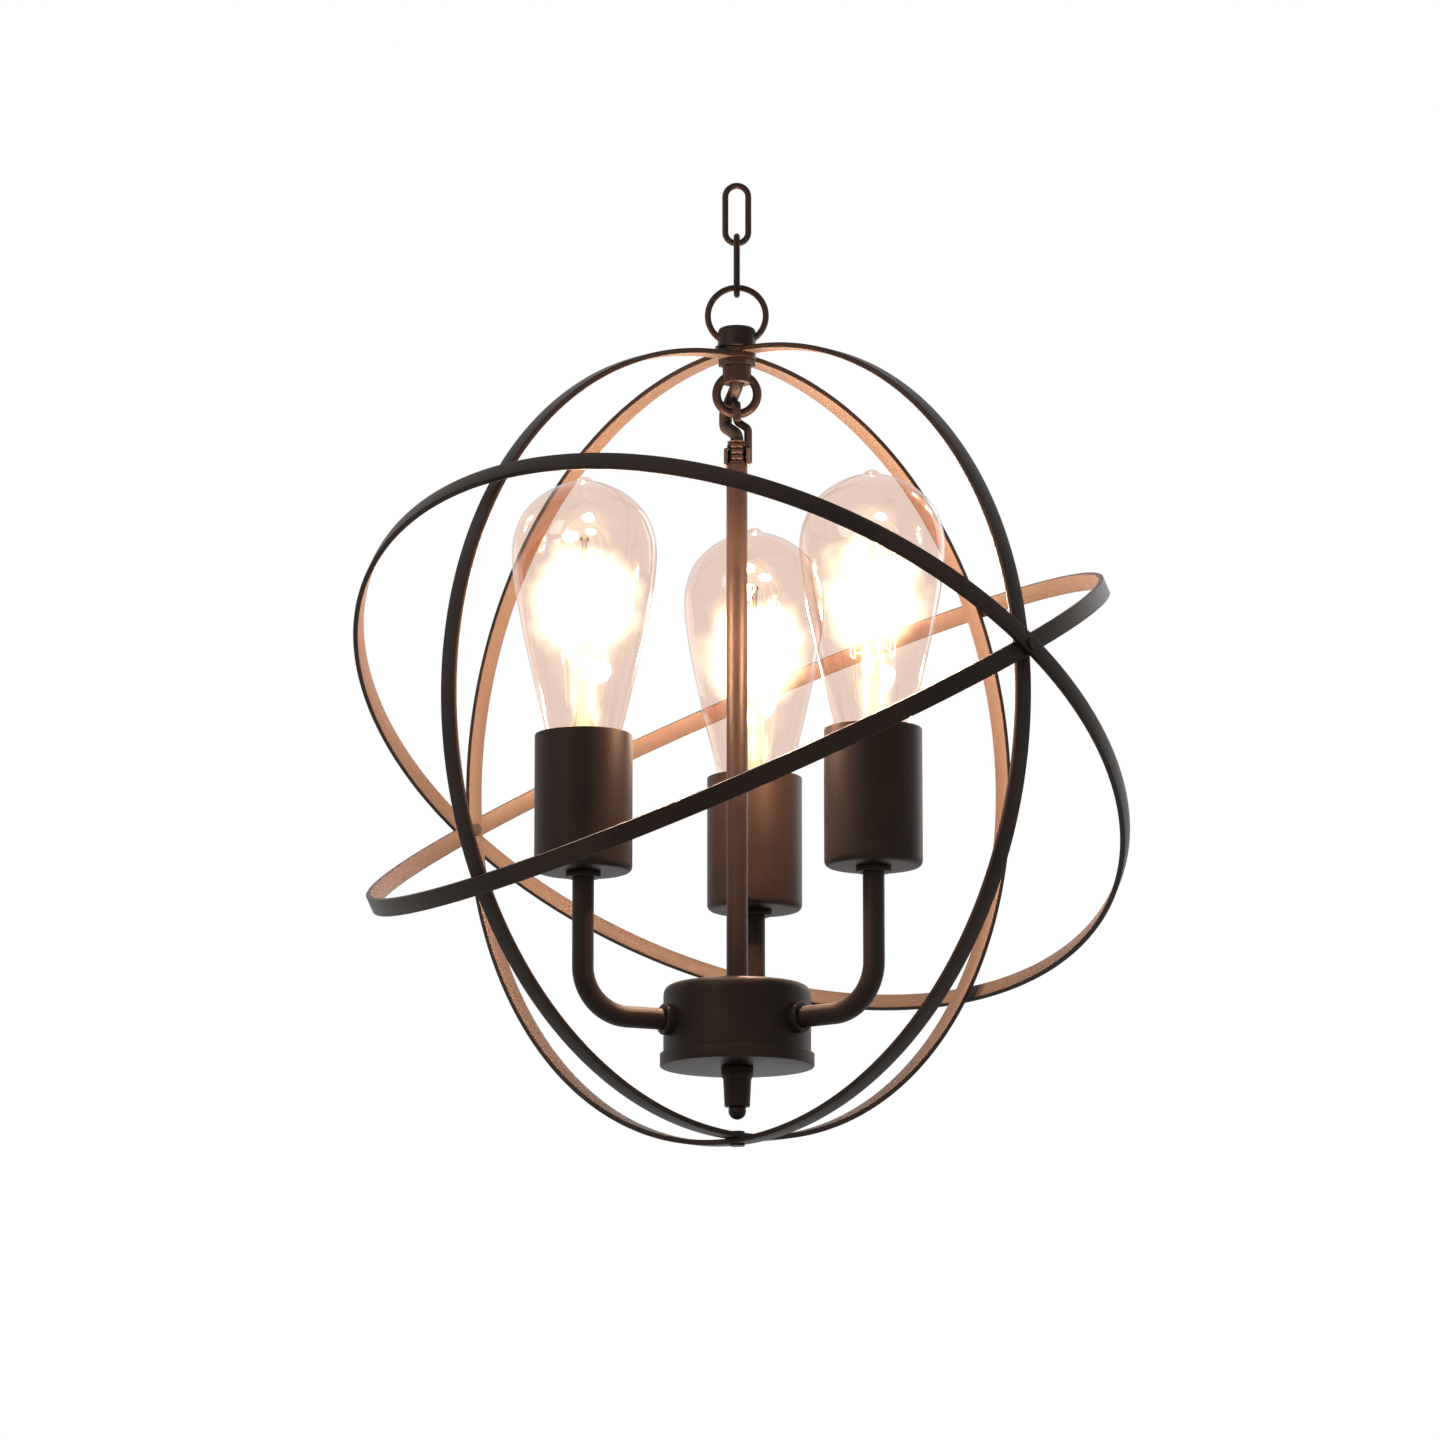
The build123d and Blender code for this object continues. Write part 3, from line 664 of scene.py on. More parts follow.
# %% Bands A and B, C and D
RUNNING_GAP = 0.3
PIVOT_SLOPE = radians(5.7)
along_b = Vector((cos(radians(-45)), sin(radians(-45)), 0))
along_a = Vector((cos(radians(45)), sin(radians(45)), 0))
up = Vector((0, 0, 1))
pivot = along_b * cos(PIVOT_SLOPE) + up * sin(PIVOT_SLOPE)
band("a", "cage_band_a", CAGE_R - BAND_T, ZENITH - BAND_T, along_a, up, "cage")
band("b", "cage_band_b", CAGE_R, ZENITH, along_b, up, "cage")
for letter, layers, turn in (("c", 2, 57.7), ("d", 1, 118.0)):
    outer = CAGE_R + layers * (BAND_T + RUNNING_GAP)
    flat = Matrix.Rotation(radians(turn), 3, pivot) @ along_b.cross(up)
    band(letter, f"turning_band_{letter}", outer, outer, pivot, flat.cross(pivot),
         f"band_{letter}")

# %% [markdown]
# ## Pads where the upright bands meet
#
# Under the cap each upright band widens to a round pad with a hole for the threaded
# pipe.  The strip tree makes a plain strip, so the pads are turned rings laid at the
# same heights as their bands.

# %% Two round pads
PAD_R, PAD_HOLE_R = 8.5, 5.1
for name, top in (("hub_pad_a", ZENITH - BAND_T), ("hub_pad_b", ZENITH)):
    pad_outline = rounded([(PAD_HOLE_R, top - BAND_T, 0), (PAD_R, top - BAND_T, 0.3),
                           (PAD_R, top, 0.3), (PAD_HOLE_R, top, 0)])
    bronze_turning(name, pad_outline, "cage", around=96)

# %% [markdown]
# ## Hub cap, neck and loop
#
# The flanged cap at the top and the neck of the loop under it are turned brass under
# the same coat.  Their outlines are those of the CAD part.  Only the small edge
# roundings are new, and they catch the light.  The loop comes from the wire tree.

# %% The cap and the neck with its loop
PIPE_R, PIPE_DROP = 5, 10.7
FLANGE_R, FLANGE_T = 9.8, 1.0
HUB_CAP_R, HUB_CAP_H = 8.5, 9.8
cap_outline = rounded([
    (0, ZENITH - PIPE_DROP, 0), (PIPE_R, ZENITH - PIPE_DROP, 0.2), (PIPE_R, ZENITH, 0),
    (FLANGE_R, ZENITH, 0.25), (FLANGE_R, ZENITH + FLANGE_T, 0.25),
    (HUB_CAP_R, ZENITH + FLANGE_T + 0.2, 0.3), (HUB_CAP_R, ZENITH + HUB_CAP_H, 2.2),
    (0, ZENITH + HUB_CAP_H, 0)])
bronze_turning("hub_cap_turned", cap_outline, "cage", ["hub_cap"])
NECK_R, NECK_BORE_R = 6.4, 3.5
NECK_END_DROP = 15.8          # from the zenith to the neck's lower end
NECK_LOW = ZENITH - NECK_END_DROP
NECK_TOP = heights("hub_nut")[0]
neck_outline = rounded([
    (NECK_BORE_R, NECK_LOW, 0.3), (NECK_R, NECK_LOW, 0.5), (NECK_R, NECK_TOP, 0.4),
    (NECK_BORE_R, NECK_TOP, 0.2)])
bronze_turning("loop_neck", neck_outline, "cage", ["hub_loop"])
LOOP_D, LOOP_WIRE, LOOP_DROP = 22.2, 4, 4.8
wire_piece("loop_ring", LOOP_D, LOOP_D, LOOP_WIRE, NECK_LOW - LOOP_DROP, face_on, "cage")

# %% [markdown]
# ## Drum and cover
#
# The drum is spun from 1 mm steel, so its top edge is a soft curve.  The cover is a
# shallow pressed lid with a skirt over the drum's wall.  Both are outlines swung
# round the stem, with more steps than a small piece needs, because they are wide.

# %% Drum shell and drum cover
SHEET = 1.0
STEM_R = 4.7
DRUM_R, DRUM_SHOULDER = 32.5, 5.0
SKIRT_R = 34.0
DRUM_LOW, DRUM_TOP = heights("body_drum")
COVER_LOW, COVER_TOP = heights("body_cover")
drum_outline = rounded([
    (STEM_R, DRUM_TOP, 0), (DRUM_R, DRUM_TOP, DRUM_SHOULDER), (DRUM_R, DRUM_LOW, 0),
    (DRUM_R - SHEET, DRUM_LOW, 0),
    (DRUM_R - SHEET, DRUM_TOP - SHEET, DRUM_SHOULDER - SHEET),
    (STEM_R, DRUM_TOP - SHEET, 0)], steps=8)
bronze_turning("drum_shell", drum_outline, "cluster", ["body_drum"], around=160)
cover_outline = rounded([
    (STEM_R, COVER_LOW, 0), (SKIRT_R, COVER_LOW, 0.9), (SKIRT_R, COVER_TOP, 0.3),
    (DRUM_R, COVER_TOP, 0.2), (DRUM_R, DRUM_LOW, 0), (STEM_R, DRUM_LOW, 0)])
bronze_turning("drum_cover", cover_outline, "cluster", ["body_cover"], around=160)

# %% [markdown]
# ## Finial, stem and coupling
#
# The finial is a turned knob: a collar, a plain barrel and a ball.  The stem is steel
# tube, and the ribbed coupling on top of it is turned with four grooves for grip.
# The ball is an arc of points and the grooves are a loop, so each stays one outline.

# %% The finial
FINIAL_END = heights("finial")[0]
BALL_R = 3.9
BALL_OUT = 5.5                # how far the ball stands out of the barrel's end
COLLAR_R, COLLAR_H = 7.1, 4.2
BARREL_R = 6.2
FINIAL_BORE = 10.8            # how deep the stem's hole is, from the cover's underside
collar_low = COVER_LOW - COLLAR_H
ball = [(BALL_R * cos(radians(a)), FINIAL_END + BALL_R * (1 + sin(radians(a))))
        for a in range(40, -90, -10)]
finial_outline = rounded([
    (STEM_R, COVER_LOW, 0), (COLLAR_R, COVER_LOW, 0.5), (COLLAR_R, collar_low, 0.8),
    (BARREL_R, collar_low - 1.0, 0.4), (BARREL_R - 0.6, FINIAL_END + BALL_OUT + 0.1, 0.6),
    (2.4, FINIAL_END + BALL_OUT, 0)])
finial_outline += ball + [(0, FINIAL_END), (0, COVER_LOW - FINIAL_BORE),
                          (STEM_R, COVER_LOW - FINIAL_BORE)]
bronze_turning("turned_finial", finial_outline, "cluster", ["finial"], around=96)

# %% The stem and its ribbed coupling
STEM_LOW, STEM_TOP = heights("stem_tube")
COUPLING_TOP = heights("stem_coupling")[1]
RIDGE_R = round(box_of("stem_coupling")[1][0], 1)
GROOVE_R = RIDGE_R - 0.5
LEAD_HOLE_R = GROOVE_R - 0.7
FIRST_GROOVE, GROOVE_PITCH = 1.2, 2.7
stem_outline = rounded([(STEM_R - SHEET, STEM_LOW, 0), (STEM_R, STEM_LOW, 0),
                        (STEM_R, STEM_TOP, 0.3), (STEM_R - SHEET, STEM_TOP, 0)])
bronze_turning("stem_pipe", stem_outline, "cluster", ["stem_tube"], around=64)
ribs = [(LEAD_HOLE_R, STEM_TOP, 0), (RIDGE_R, STEM_TOP, 0.2)]
for groove in range(4):
    level = STEM_TOP + FIRST_GROOVE + GROOVE_PITCH * groove
    ribs += [(RIDGE_R, level, 0.25), (GROOVE_R, level + 0.5, 0.2),
             (GROOVE_R, level + 0.8, 0.2), (RIDGE_R, level + 1.3, 0.25)]
ribs += [(RIDGE_R, COUPLING_TOP, 0.3), (LEAD_HOLE_R, COUPLING_TOP, 0.2)]
bronze_turning("ribbed_coupling", rounded(ribs), "cluster", ["stem_coupling"], around=64)

# %% [markdown]
# ## Three of each round the stem
#
# Arms, cups and their fittings repeat three times round the drum.  One tree puts
# copies of a mesh on a ring of points, turned to face outwards, so one shape is
# modelled and the count and the angle stay inputs.

# %% The three-round-the-stem tree
ARMS = 3
ARM_REACH = 73.5
FIRST_ARM = 84.5              # azimuth of the back arm in degrees


def round_the_stem_tree():
    """Copies of the base mesh on a ring, each turned to face outwards."""
    tree, sizes = new_tree("round the stem", {
        "Count": ARMS, "Reach": ARM_REACH * MM, "First angle": radians(FIRST_ARM)},
        takes_geometry=True)
    points = add(tree, "GeometryNodePoints", {"Count": sizes["Count"]})
    index = add(tree, "GeometryNodeInputIndex").outputs["Index"]
    share = add(tree, "ShaderNodeMath", {0: index, 1: sizes["Count"]}, operation="DIVIDE")
    swing = add(tree, "ShaderNodeMath", {
        0: share.outputs["Value"], 1: 2 * pi, 2: sizes["First angle"]},
        operation="MULTIPLY_ADD")
    turn = add(tree, "ShaderNodeCombineXYZ", {"Z": swing.outputs["Value"]})
    reach = add(tree, "ShaderNodeCombineXYZ", {"X": sizes["Reach"]})
    spot = add(tree, "ShaderNodeVectorRotate", {
        "Vector": reach.outputs["Vector"], "Rotation": turn.outputs["Vector"]},
        rotation_type="EULER_XYZ")
    placed = add(tree, "GeometryNodeSetPosition", {
        "Geometry": points.outputs["Points"], "Position": spot.outputs["Vector"]})
    copies = add(tree, "GeometryNodeInstanceOnPoints", {
        "Points": placed.outputs["Geometry"], "Instance": sizes["Geometry"],
        "Rotation": turn.outputs["Vector"]})
    end_tree(tree, copies.outputs["Instances"], sizes["Material"])
    return tree


round_the_stem = round_the_stem_tree()


def three(name, mesh, material, nodes, reach=ARM_REACH):
    """Three copies of a mesh round the stem, as one piece on the cluster."""
    ring = grow(name, round_the_stem, material, {"Reach": reach * MM}, base=mesh, where=place())
    piece(name, ring, "cluster", nodes)


def three_nodes(node):
    """The names of a CAD node that comes once for each arm."""
    return [f"{node}_{number}" for number in range(1, ARMS + 1)]


# %% [markdown]
# ## Bent tubes
#
# An arm is 9.5 mm tube bent once.  A path of three points gets its corner filleted to
# the radius that the bender gives, and a circle follows the path.  The lead and the
# filaments of the lamps come from the same tree.

# %% The bent tube tree
ARM_D, ARM_BEND = 9.5, 21


def bent_tube_tree():
    """A round solid along the base curve, with its corners bent to one radius."""
    tree, sizes = new_tree("bent tube", {"Bend": ARM_BEND * MM, "Tube": ARM_D * MM},
                           takes_geometry=True)
    path = add(tree, "GeometryNodeFilletCurve", {
        "Curve": sizes["Geometry"], "Radius": sizes["Bend"], "Count": 20,
        "Limit Radius": True}, mode="POLY")
    half = add(tree, "ShaderNodeMath", {0: sizes["Tube"], 1: 0.5}, operation="MULTIPLY")
    section = add(tree, "GeometryNodeCurvePrimitiveCircle", {
        "Resolution": 48, "Radius": half.outputs["Value"]})
    tube = add(tree, "GeometryNodeCurveToMesh", {
        "Curve": path.outputs["Curve"], "Profile Curve": section.outputs["Curve"],
        "Fill Caps": True})
    end_tree(tree, tube.outputs["Mesh"], sizes["Material"])
    return tree


bent_tube = bent_tube_tree()


def path_through(name, points):
    """A curve of straight runs through points in mm."""
    made = bpy.data.curves.new(name, "CURVE")
    made.dimensions = "3D"
    run = made.splines.new("POLY")
    run.points.add(len(points) - 1)
    for spot, (x, y, z) in zip(run.points, points):
        spot.co = (x * MM, y * MM, z * MM, 1)
    return made


# %% Arms and the boss rings at their roots
ARM_RISE = 19.2               # centre line of the arms above the cover's underside
ARM_ROOT = 46                 # how far an arm's level run goes in from its cup
ARM_IN_CUP = 8                # how far an arm's end stands inside its cup
ARM_HOLE_R = 4.8
ARM_Z = COVER_LOW + ARM_RISE
CUP_LOW, CUP_TOP = heights("cup_1")
arm_path = path_through("arm_path", [
    (-ARM_ROOT, 0, ARM_Z), (0, 0, ARM_Z), (0, 0, CUP_LOW + ARM_IN_CUP)])
arm = grow("arm", bent_tube, bronze, {"Bend": ARM_BEND * MM, "Tube": ARM_D * MM},
           base=arm_path)
three("bent_arms", arm, bronze, three_nodes("arm"))
BOSS_R, BOSS_IN, BOSS_OUT = 6.9, 1.2, 3.6
boss_outline = rounded([
    (ARM_HOLE_R, -BOSS_IN, 0), (BOSS_R, -BOSS_IN, 0.2), (BOSS_R, BOSS_OUT - 0.6, 0.6),
    (BOSS_R - 0.7, BOSS_OUT, 0.3), (ARM_HOLE_R, BOSS_OUT, 0.2)])
outward = (Matrix.Translation(Vector((DRUM_R, 0, ARM_Z)) * MM)
           @ Matrix.Rotation(radians(90), 4, "Y"))
boss = turned("boss", boss_outline, bronze, 64, outward)
three("arm_boss_rings", boss, bronze, ["arm_bosses"], reach=0)

# %% [markdown]
# ## The lead between hub and stem
#
# The soft lead leaves the neck, goes behind the loop and the hook, and enters the
# ribbed coupling.  The stem can swing under the hub, but the lead is one fixed mesh
# that rides on no body.  Its straight runs get extra points, because a bend needs
# rings of vertices to show.

# %% A bent tube from the neck to the coupling
LEAD_D, LEAD_BEND = 5.8, 4.5
PIVOT_DROP = 13.9             # from the neck's end to where the hook bears on the loop
LOOP_PIVOT = NECK_LOW - PIVOT_DROP
aside, behind = -5.2, 7.95
corners = [(0, 0, NECK_LOW + 10), (0, 0, NECK_LOW - 1), (aside, behind, LOOP_PIVOT + 2.5),
           (aside, behind, LOOP_PIVOT - 4), (0, 0, LOOP_PIVOT - 9.5), (0, 0, STEM_TOP + 1)]
run = [corners[0]]
for a, b in zip(corners, corners[1:]):
    for share in (0.25, 0.5, 0.75, 1.0):
        run.append(tuple(Vector(a).lerp(Vector(b), share)))
lead_mesh = grow("soft_lead", bent_tube, sleeve, {"Bend": LEAD_BEND * MM, "Tube": LEAD_D * MM},
                 base=path_through("lead_path", run), where=place())
lead = bpy.data.objects.new("soft_lead", lead_mesh)
bpy.context.collection.objects.link(lead)
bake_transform(lead)
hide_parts("hub_lead")
print(f"soft_lead: {len(lead_mesh.polygons)} faces, bends between cage and cluster")

# %% [markdown]
# ## Cups and seats
#
# A cup is a deep-drawn steel sleeve with a rounded foot and an open mouth, and a seat
# is the turned ring that it stands on.  Each is modelled once on its own axis, and the
# tree that puts three round the stem does the rest.

# %% Cups and their seat rings
CUP_R, CUP_WALL, CUP_FOOT = 21.5, 1.2, 3.0
SEAT_R = 7.7
SEAT_LOW = heights("cup_seats")[0]
cup_outline = rounded([
    (ARM_HOLE_R, CUP_LOW, 0), (CUP_R, CUP_LOW, CUP_FOOT), (CUP_R, CUP_TOP, 0.4),
    (CUP_R - CUP_WALL, CUP_TOP, 0.4),
    (CUP_R - CUP_WALL, CUP_LOW + CUP_WALL, CUP_FOOT - CUP_WALL),
    (ARM_HOLE_R, CUP_LOW + CUP_WALL, 0)], steps=6)
three("bulb_cups", turned("cup", cup_outline, bronze, 128), bronze,
      three_nodes("cup"))
seat_outline = rounded([
    (ARM_HOLE_R, SEAT_LOW, 0.2), (SEAT_R, SEAT_LOW, 0.5), (SEAT_R, CUP_LOW, 0.3),
    (ARM_HOLE_R, CUP_LOW, 0)])
three("seat_rings", turned("seat", seat_outline, bronze, 64), bronze,
      ["cup_seats"])

# %% [markdown]
# ## Holders and screw shells
#
# In each cup stands a resin holder with the brass shell that takes the lamp.  They
# show from above.  The shell's wall is rolled into a round thread, which is drawn as a
# wave in the outline.  That makes rings and not a helix, which hardly shows in a cup.

# %% Resin holders and brass shells
E26_PITCH = 3.629
HOLDER_R, HOLDER_BORE_R, HOLDER_FLOOR = 17, 14.0, 2.5
SHELL_R, SHELL_WAVE, SHELL_FOOT_R = 13.75, 0.25, 13.95
SHELL_T, SHELL_HOLE_R = 0.5, 7.0
SHELL_RUN, SHELL_STEPS = 29.4, 40
HOLDER_LOW, HOLDER_TOP = heights("holder_1")
SHELL_LOW = heights("screw_shell_1")[0]
holder_outline = rounded([
    (ARM_HOLE_R, HOLDER_LOW, 0), (HOLDER_R, HOLDER_LOW, 0.5), (HOLDER_R, HOLDER_TOP, 1.2),
    (HOLDER_BORE_R, HOLDER_TOP, 0.4), (HOLDER_BORE_R, SHELL_LOW - HOLDER_FLOOR, 0.4),
    (ARM_HOLE_R, SHELL_LOW - HOLDER_FLOOR, 0)])
three("resin_holders", turned("holder", holder_outline, resin, 96), resin,
      three_nodes("holder"))


def thread_wave(level):
    """From -1 to 1, how far a round thread stands out at a height in mm."""
    return sin(2 * pi * level / E26_PITCH)


shell_outline = [(SHELL_FOOT_R, SHELL_LOW)]
for k in range(SHELL_STEPS + 1):
    level = SHELL_LOW + SHELL_RUN * k / SHELL_STEPS
    shell_outline.append((SHELL_R + SHELL_WAVE * thread_wave(level), level))
shell_outline += [(r - SHELL_T, z) for r, z in reversed(shell_outline[1:])]
shell_outline += [(SHELL_HOLE_R, SHELL_LOW + 0.6), (SHELL_HOLE_R, SHELL_LOW)]
three("brass_screw_shells", turned("shell", shell_outline, brass, 96), brass,
      three_nodes("screw_shell"))

# %% [markdown]
# ## The lamps
#
# An ST64 lamp is blown in a mould: a long taper from the neck to a 64 mm shoulder and
# a low crown with the pip where it was sealed.  A smooth curve through a few radii
# gives the outline, and follows its changing slope more easily than arcs would.  The
# neck sits in a nickel-plated screw cap, which ends in a glass bead with the contact.

# %% Outline of the glass
def smooth_through(points, steps):
    """A smooth curve that passes through every (radius, height) point."""
    out = []
    for i in range(len(points) - 1):
        p0, p1 = Vector(points[max(i - 1, 0)]), Vector(points[i])
        p2, p3 = Vector(points[i + 1]), Vector(points[min(i + 2, len(points) - 1)])
        for k in range(steps):
            t = k / steps
            spot = 0.5 * ((2 * p1) + (p2 - p0) * t + (2 * p0 - 5 * p1 + 4 * p2 - p3) * t ** 2
                          + (3 * p1 - p0 - 3 * p2 + p3) * t ** 3)
            out.append((spot.x, spot.y))
    return out + [tuple(points[-1])]


GLASS_FOOT, GLASS_TIP = -14.0, 113.95
glass_side = smooth_through([
    (12.2, GLASS_FOOT), (12.2, -8.8), (14.2, -6.0), (16.8, 0.0), (19.8, 12.0), (23.8, 29.0),
    (27.9, 48.0), (31.0, 66.0), (31.98, 78.5), (31.1, 87.0), (27.6, 96.0), (20.5, 103.8),
    (12.0, 108.8), (5.2, 111.0), (3.6, 111.9), (2.6, 113.0), (0.0, GLASS_TIP)], 6)
glass_outline = [(0.0, GLASS_FOOT)] + glass_side
print("glass:", round(2 * max(r for r, z in glass_side), 1), "mm wide, up to", GLASS_TIP, "mm")

# %% Outlines of the screw cap, the bead and the contact
CAP_R, CAP_WAVE = 12.6, 0.35
CAP_MOUTH, CAP_FOOT = -8.7, -29.5
WALL_TOP, WALL_RUN, WALL_STEPS = -9.5, 19.6, 60
THREAD_TOP, THREAD_FOOT = -12, -27.5
NECK_SEAT_R = 12.25
BEAD_R, BEAD_HOLE_R = 11.4, 2.1
BEAD_LOW, BEAD_TOP = -33.8, -27.5
CONTACT_R, CONTACT_LOW, CONTACT_RIM = 4.5, -35.4, -34.1
PIN_R, PIN_TOP = 2, -27.9
cap_points = [(NECK_SEAT_R, CAP_MOUTH), (12.9, CAP_MOUTH)]
for k in range(WALL_STEPS + 1):
    level = WALL_TOP - WALL_RUN * k / WALL_STEPS
    wave = CAP_WAVE * thread_wave(level) if THREAD_FOOT < level < THREAD_TOP else 0.0
    cap_points.append((CAP_R + wave, level))
cap_points += [(11.8, CAP_FOOT), (BEAD_R, CAP_FOOT + 0.1), (BEAD_R, GLASS_FOOT - 0.1),
               (NECK_SEAT_R, GLASS_FOOT - 0.1)]
bead_points = rounded([
    (BEAD_HOLE_R, BEAD_LOW, 0), (6, BEAD_LOW, 0.4), (BEAD_R, CAP_FOOT, 0.4),
    (BEAD_R, BEAD_TOP, 0), (BEAD_HOLE_R, BEAD_TOP, 0)])
contact_points = rounded([
    (0, CONTACT_LOW, 0), (CONTACT_R, CONTACT_LOW, 0.9), (CONTACT_R, CONTACT_RIM, 0.2),
    (PIN_R, CONTACT_RIM, 0), (PIN_R, PIN_TOP, 0), (0, PIN_TOP, 0)])
print("screw cap from", CAP_MOUTH, "to", CAP_FOOT, "mm, contact down to", CONTACT_LOW, "mm")

# %% [markdown]
# ## Inside a lamp
#
# The mount is a glass stem with a flare fused to the lamp's neck and a thin rod on
# top.  Round it stands the squirrel-cage filament: one wire that runs up and down
# between a small crown below and a wider one above.  The mount is turned, and the
# wire is a path worked out by a loop, so its number of runs is one value.

# %% The mount's outline and the filament's path
FLARE_R, FLARE_T = 11.2, 1.2
STALK_R, ROD_R = 2.6, 1.2
SWELLING = 1.0                # how far the small swellings stand out of stalk and rod
MOUNT_TIP = 87.0
mount_points = rounded([
    (0, GLASS_FOOT, 0), (FLARE_R, GLASS_FOOT, 0.2), (FLARE_R, GLASS_FOOT + FLARE_T, 0.3),
    (7.6, -8.0, 2), (3.4, 6.0, 3), (STALK_R, 34.0, 1), (STALK_R + SWELLING, 36.0, 0.7),
    (STALK_R + SWELLING, 38.0, 0.7), (ROD_R, 40.0, 0.8), (ROD_R, 84.0, 0.5),
    (ROD_R + SWELLING, 86.0, 0.7), (0, MOUNT_TIP, 0)])
CROWN_LOW, CROWN_TOP = (30.0, 9.5), (78.0, 12.5)  # height and radius of each crown
FILAMENT_RUNS = 10
FILAMENT_D, FILAMENT_BEND = 0.5, 1.1
WIRE_START = (4.0, 0, 37.2)


def filament_path(name):
    """Wire up and down between the two crowns, all round the mount."""
    points = [WIRE_START]
    for i in range(FILAMENT_RUNS):
        a = radians(360 / FILAMENT_RUNS * i)
        ends = (CROWN_LOW, CROWN_TOP) if i % 2 == 0 else (CROWN_TOP, CROWN_LOW)
        for z, r in ends:
            points.append((r * cos(a), r * sin(a), z))
    print(name, "has", len(points), "points")
    return path_through(name, points)


# %% [markdown]
# ## Three lit lamps
#
# Each lamp is the same set of six pieces on its own axis.  The contact has its own
# body, which only slides along the axis, and the rest of the lamp turns on it.  The
# glow's place is written into the glass, so each lamp has a glass of its own.

# %% Six pieces for each lamp
lamp_axes = []
for number in range(1, ARMS + 1):
    angle = radians(FIRST_ARM + 360 / ARMS * (number - 1))
    axis = drop(ARM_REACH * cos(angle), ARM_REACH * sin(angle), 0)
    spot = Matrix.Translation(axis) @ Matrix.Rotation(angle, 4, "Z")
    lamp_axes.append(axis)
    lamp = f"bulb_{number}"
    glass = lamp_glass(number, axis)
    for part, outline, finish, around, smooth_below, body, slot, node in (
        ("envelope", glass_outline, glass, 128, 60, lamp, "bulb_glass", "glass"),
        ("screw_cap", cap_points, nickel, 96, 60, lamp, "lamp_nickel", "cap"),
        ("bead", bead_points, bead, 64, SMOOTH_BELOW, lamp, "bead_glass", "bead"),
        ("contact", contact_points, nickel, 48, SMOOTH_BELOW, f"{lamp}_contact",
         "lamp_nickel", "contact"),
        ("mount", mount_points, stem_glass, 48, SMOOTH_BELOW, lamp, "mount_glass", "mount"),
    ):
        mesh = turned(part, outline, finish, around, spot, smooth_below)
        piece(f"lamp_{part}_{number}", mesh, body, [f"bulb_{node}_{number}"])
    wire = grow("filament_wire", bent_tube, tungsten,
                {"Bend": FILAMENT_BEND * MM, "Tube": FILAMENT_D * MM},
                base=filament_path("filament_path"), where=spot)
    piece(f"lamp_filament_{number}", wire, lamp, [f"filament_{number}"])

# %% [markdown]
# ## Pieces that keep their CAD shape
#
# The nuts, the rivets, the hook with its clamp and the holders' contacts are right as
# they come: small, flat-sided or hidden.  A finer mesh would show nothing new, so they
# only get their finish.

# %% Finishes on the remaining CAD nodes
for node_name, finish in {
    "hub_nut": bronze, "pivot_rivets": bronze, "nadir_rivet": bronze, "stem_hook": bronze,
    "stem_nut": bronze, "holder_contacts": brass,
}.items():
    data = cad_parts[node_name].data
    data.materials.clear()
    data.materials.append(finish)
    print(f"{node_name} keeps its shape and gets {finish.name}")

# %% [markdown]
# ## A white room
#
# The light hangs in a plain white room with a floor well below it.  A room as bright
# as its white backdrop would flood the metal with light.  So full white shows only to
# the camera, in a gloss and through glass, and for all other rays the floor is matt
# and the world is dimmer.  Both use the same test of the ray for that.

# %% Floor and world
def seen_directly(tree):
    """1 for a ray that shows the room itself, 0 for one that only gathers its light."""
    rays = add(tree, "ShaderNodeLightPath").outputs
    direct = add(tree, "ShaderNodeMath", {
        0: rays["Is Camera Ray"], 1: rays["Is Glossy Ray"]}, operation="MAXIMUM")
    through = add(tree, "ShaderNodeMath", {
        0: direct.outputs["Value"], 1: rays["Is Transmission Ray"]}, operation="MAXIMUM")
    return through.outputs["Value"]


def room_white(name):
    """A pale matt surface that the camera, gloss and glass see as white."""
    made, tree = new_material(name)
    matt = add(tree, "ShaderNodeBsdfDiffuse", {"Color": colour("#f4f4f3")})
    white = add(tree, "ShaderNodeEmission", {"Color": WHITE, "Strength": 1.0})
    both = add(tree, "ShaderNodeMixShader", {
        "Fac": seen_directly(tree), 1: matt.outputs["BSDF"], 2: white.outputs["Emission"]})
    add(tree, "ShaderNodeOutputMaterial", {"Surface": both.outputs["Shader"]})
    return made


FLOOR_HALF, FLOOR_LEVEL = 30.0, -2.2  # metres
corners = [(x * FLOOR_HALF, y * FLOOR_HALF, FLOOR_LEVEL)
           for x, y in ((-1, -1), (1, -1), (1, 1), (-1, 1))]
floor_mesh = bpy.data.meshes.new("floor")
floor_mesh.from_pydata(corners, [], [(0, 1, 2, 3)])
floor_mesh.materials.append(room_white("white_floor"))
floor = bpy.data.objects.new("floor", floor_mesh)
bpy.context.collection.objects.link(floor)

ROOM_LIGHT = 0.62             # the room's light on the scene, where 1 is what the camera sees
world = bpy.data.worlds.new("white_room")
bpy.context.scene.world = world
world.use_nodes = True
world.node_tree.nodes.clear()
sky = world.node_tree
lighting = add(sky, "ShaderNodeBackground", {"Color": WHITE, "Strength": ROOM_LIGHT})
backdrop = add(sky, "ShaderNodeBackground", {"Color": WHITE, "Strength": 1.0})
mixed = add(sky, "ShaderNodeMixShader", {
    "Fac": seen_directly(sky), 1: lighting.outputs["Background"],
    2: backdrop.outputs["Background"]})
add(sky, "ShaderNodeOutputWorld", {"Surface": mixed.outputs["Shader"]})
print("room: floor at", FLOOR_LEVEL, "m, light", ROOM_LIGHT)

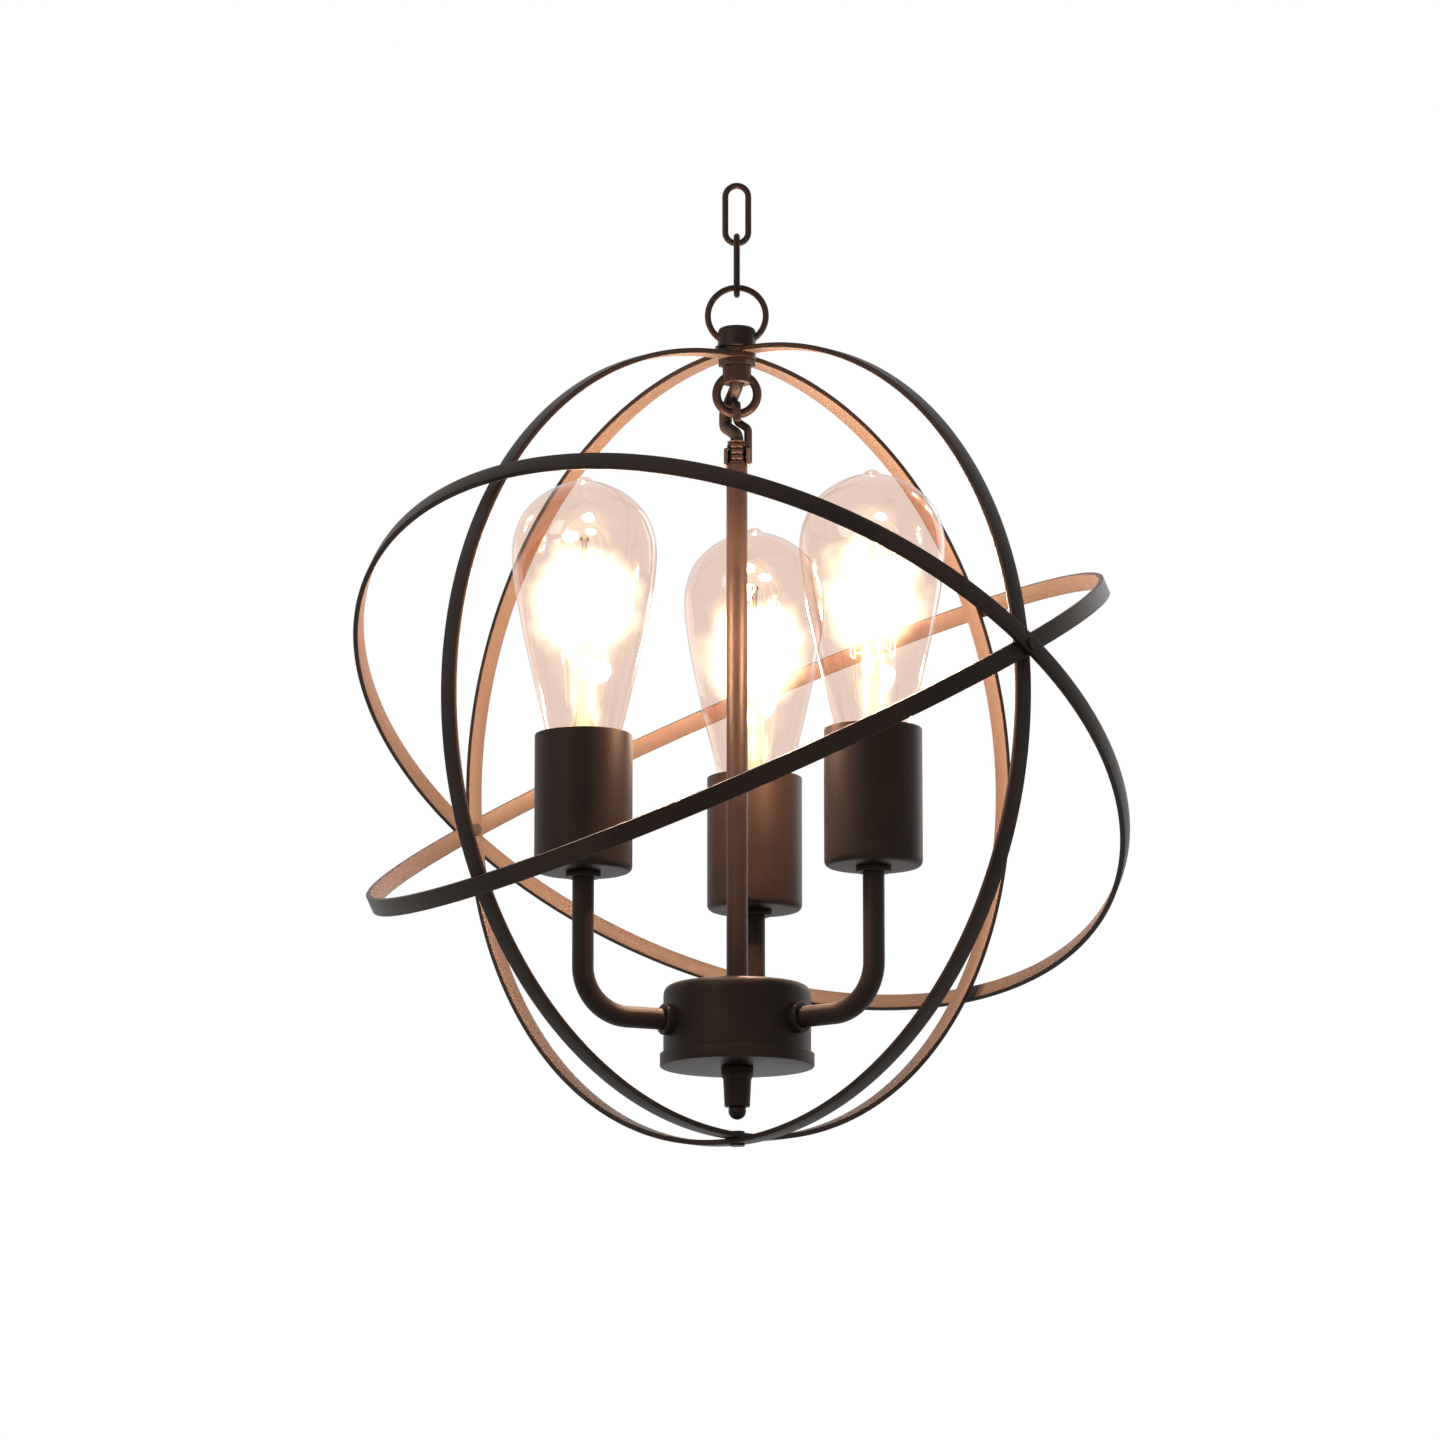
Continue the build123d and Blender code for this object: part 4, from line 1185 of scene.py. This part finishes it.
# %% [markdown]
# ## Lamps for the scene
#
# A large soft panel stands to the left and front, higher than the cage, and a weaker
# one to the right and behind it.  Each bulb also has three small warm lights in it,
# which ride with the bulb and turn the near faces copper.

# %% Soft panels and the light of the filaments
PANEL_D = 1.4                 # metres
FILAMENT_WATTS = 4.2          # for each bulb
LIGHTS_IN_BULB = 3
LIGHT_R = 5                   # mm; the lights climb round the filament in steps
LIGHT_RING_R, LIGHT_LOW, LIGHT_STEP = 9, 44, 13
WIRE_GLOW = (1.0, 0.74, 0.56)


def soft_lamp(name, spot, power):
    """A round panel at a point in metres that faces the cage's middle."""
    data = bpy.data.lights.new(name, "AREA")
    data.shape = "DISK"
    data.size = PANEL_D
    data.energy = power
    made = bpy.data.objects.new(name, data)
    made.location = spot
    made.rotation_mode = "QUATERNION"
    made.rotation_quaternion = (drop(0, 0, 0) - Vector(spot)).to_track_quat("-Z", "Y")
    made.visible_camera = False
    bpy.context.collection.objects.link(made)
    print(f"{name}: {power} W")


soft_lamp("key_panel", (-1.6, -1.8, 0.9), 22)
soft_lamp("back_panel", (1.4, 1.7, 0.6), 9)
for number, axis in enumerate(lamp_axes, start=1):
    for k in range(LIGHTS_IN_BULB):
        turn = 2 * pi * k / LIGHTS_IN_BULB + number
        data = bpy.data.lights.new(f"filament_light_{number}_{k}", "POINT")
        data.energy = FILAMENT_WATTS / LIGHTS_IN_BULB
        data.color = WIRE_GLOW
        data.shadow_soft_size = LIGHT_R * MM
        made = bpy.data.objects.new(data.name, data)
        made.location = axis + MM * Vector((
            LIGHT_RING_R * cos(turn), LIGHT_RING_R * sin(turn), LIGHT_LOW + LIGHT_STEP * k))
        made.visible_camera = False
        bpy.context.collection.objects.link(made)
        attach(made, f"bulb_{number}")

# %% [markdown]
# ## Camera
#
# The camera stands about three metres off, half a metre below the cage's middle, and
# looks up at it by eleven degrees, which is where the ellipses of the cups and bands
# put it.  A long lens keeps the view narrow, as in the photograph.

# %% Camera, sizes and the end
PHOTO_PX = 1440               # the photograph's width in pixels
FOCAL_PX = 6699.0             # the lens's focal length in those pixels
CAMERA_SPOT = (34.3, -2913.7, -561.5)  # mm, from the middle of the cage
CAMERA_LOOKS_UP = 11.098      # degrees
CAMERA_LOOKS_LEFT = 0.823
camera = bpy.data.cameras.new("camera")
camera.sensor_width = 36.0
camera.lens = FOCAL_PX / PHOTO_PX * camera.sensor_width
viewer = bpy.data.objects.new("camera", camera)
viewer.location = drop(*CAMERA_SPOT)
viewer.rotation_euler = (radians(90 + CAMERA_LOOKS_UP), 0, radians(CAMERA_LOOKS_LEFT))
bpy.context.collection.objects.link(viewer)
bpy.context.scene.camera = viewer
bpy.context.scene.view_settings.view_transform = "Standard"
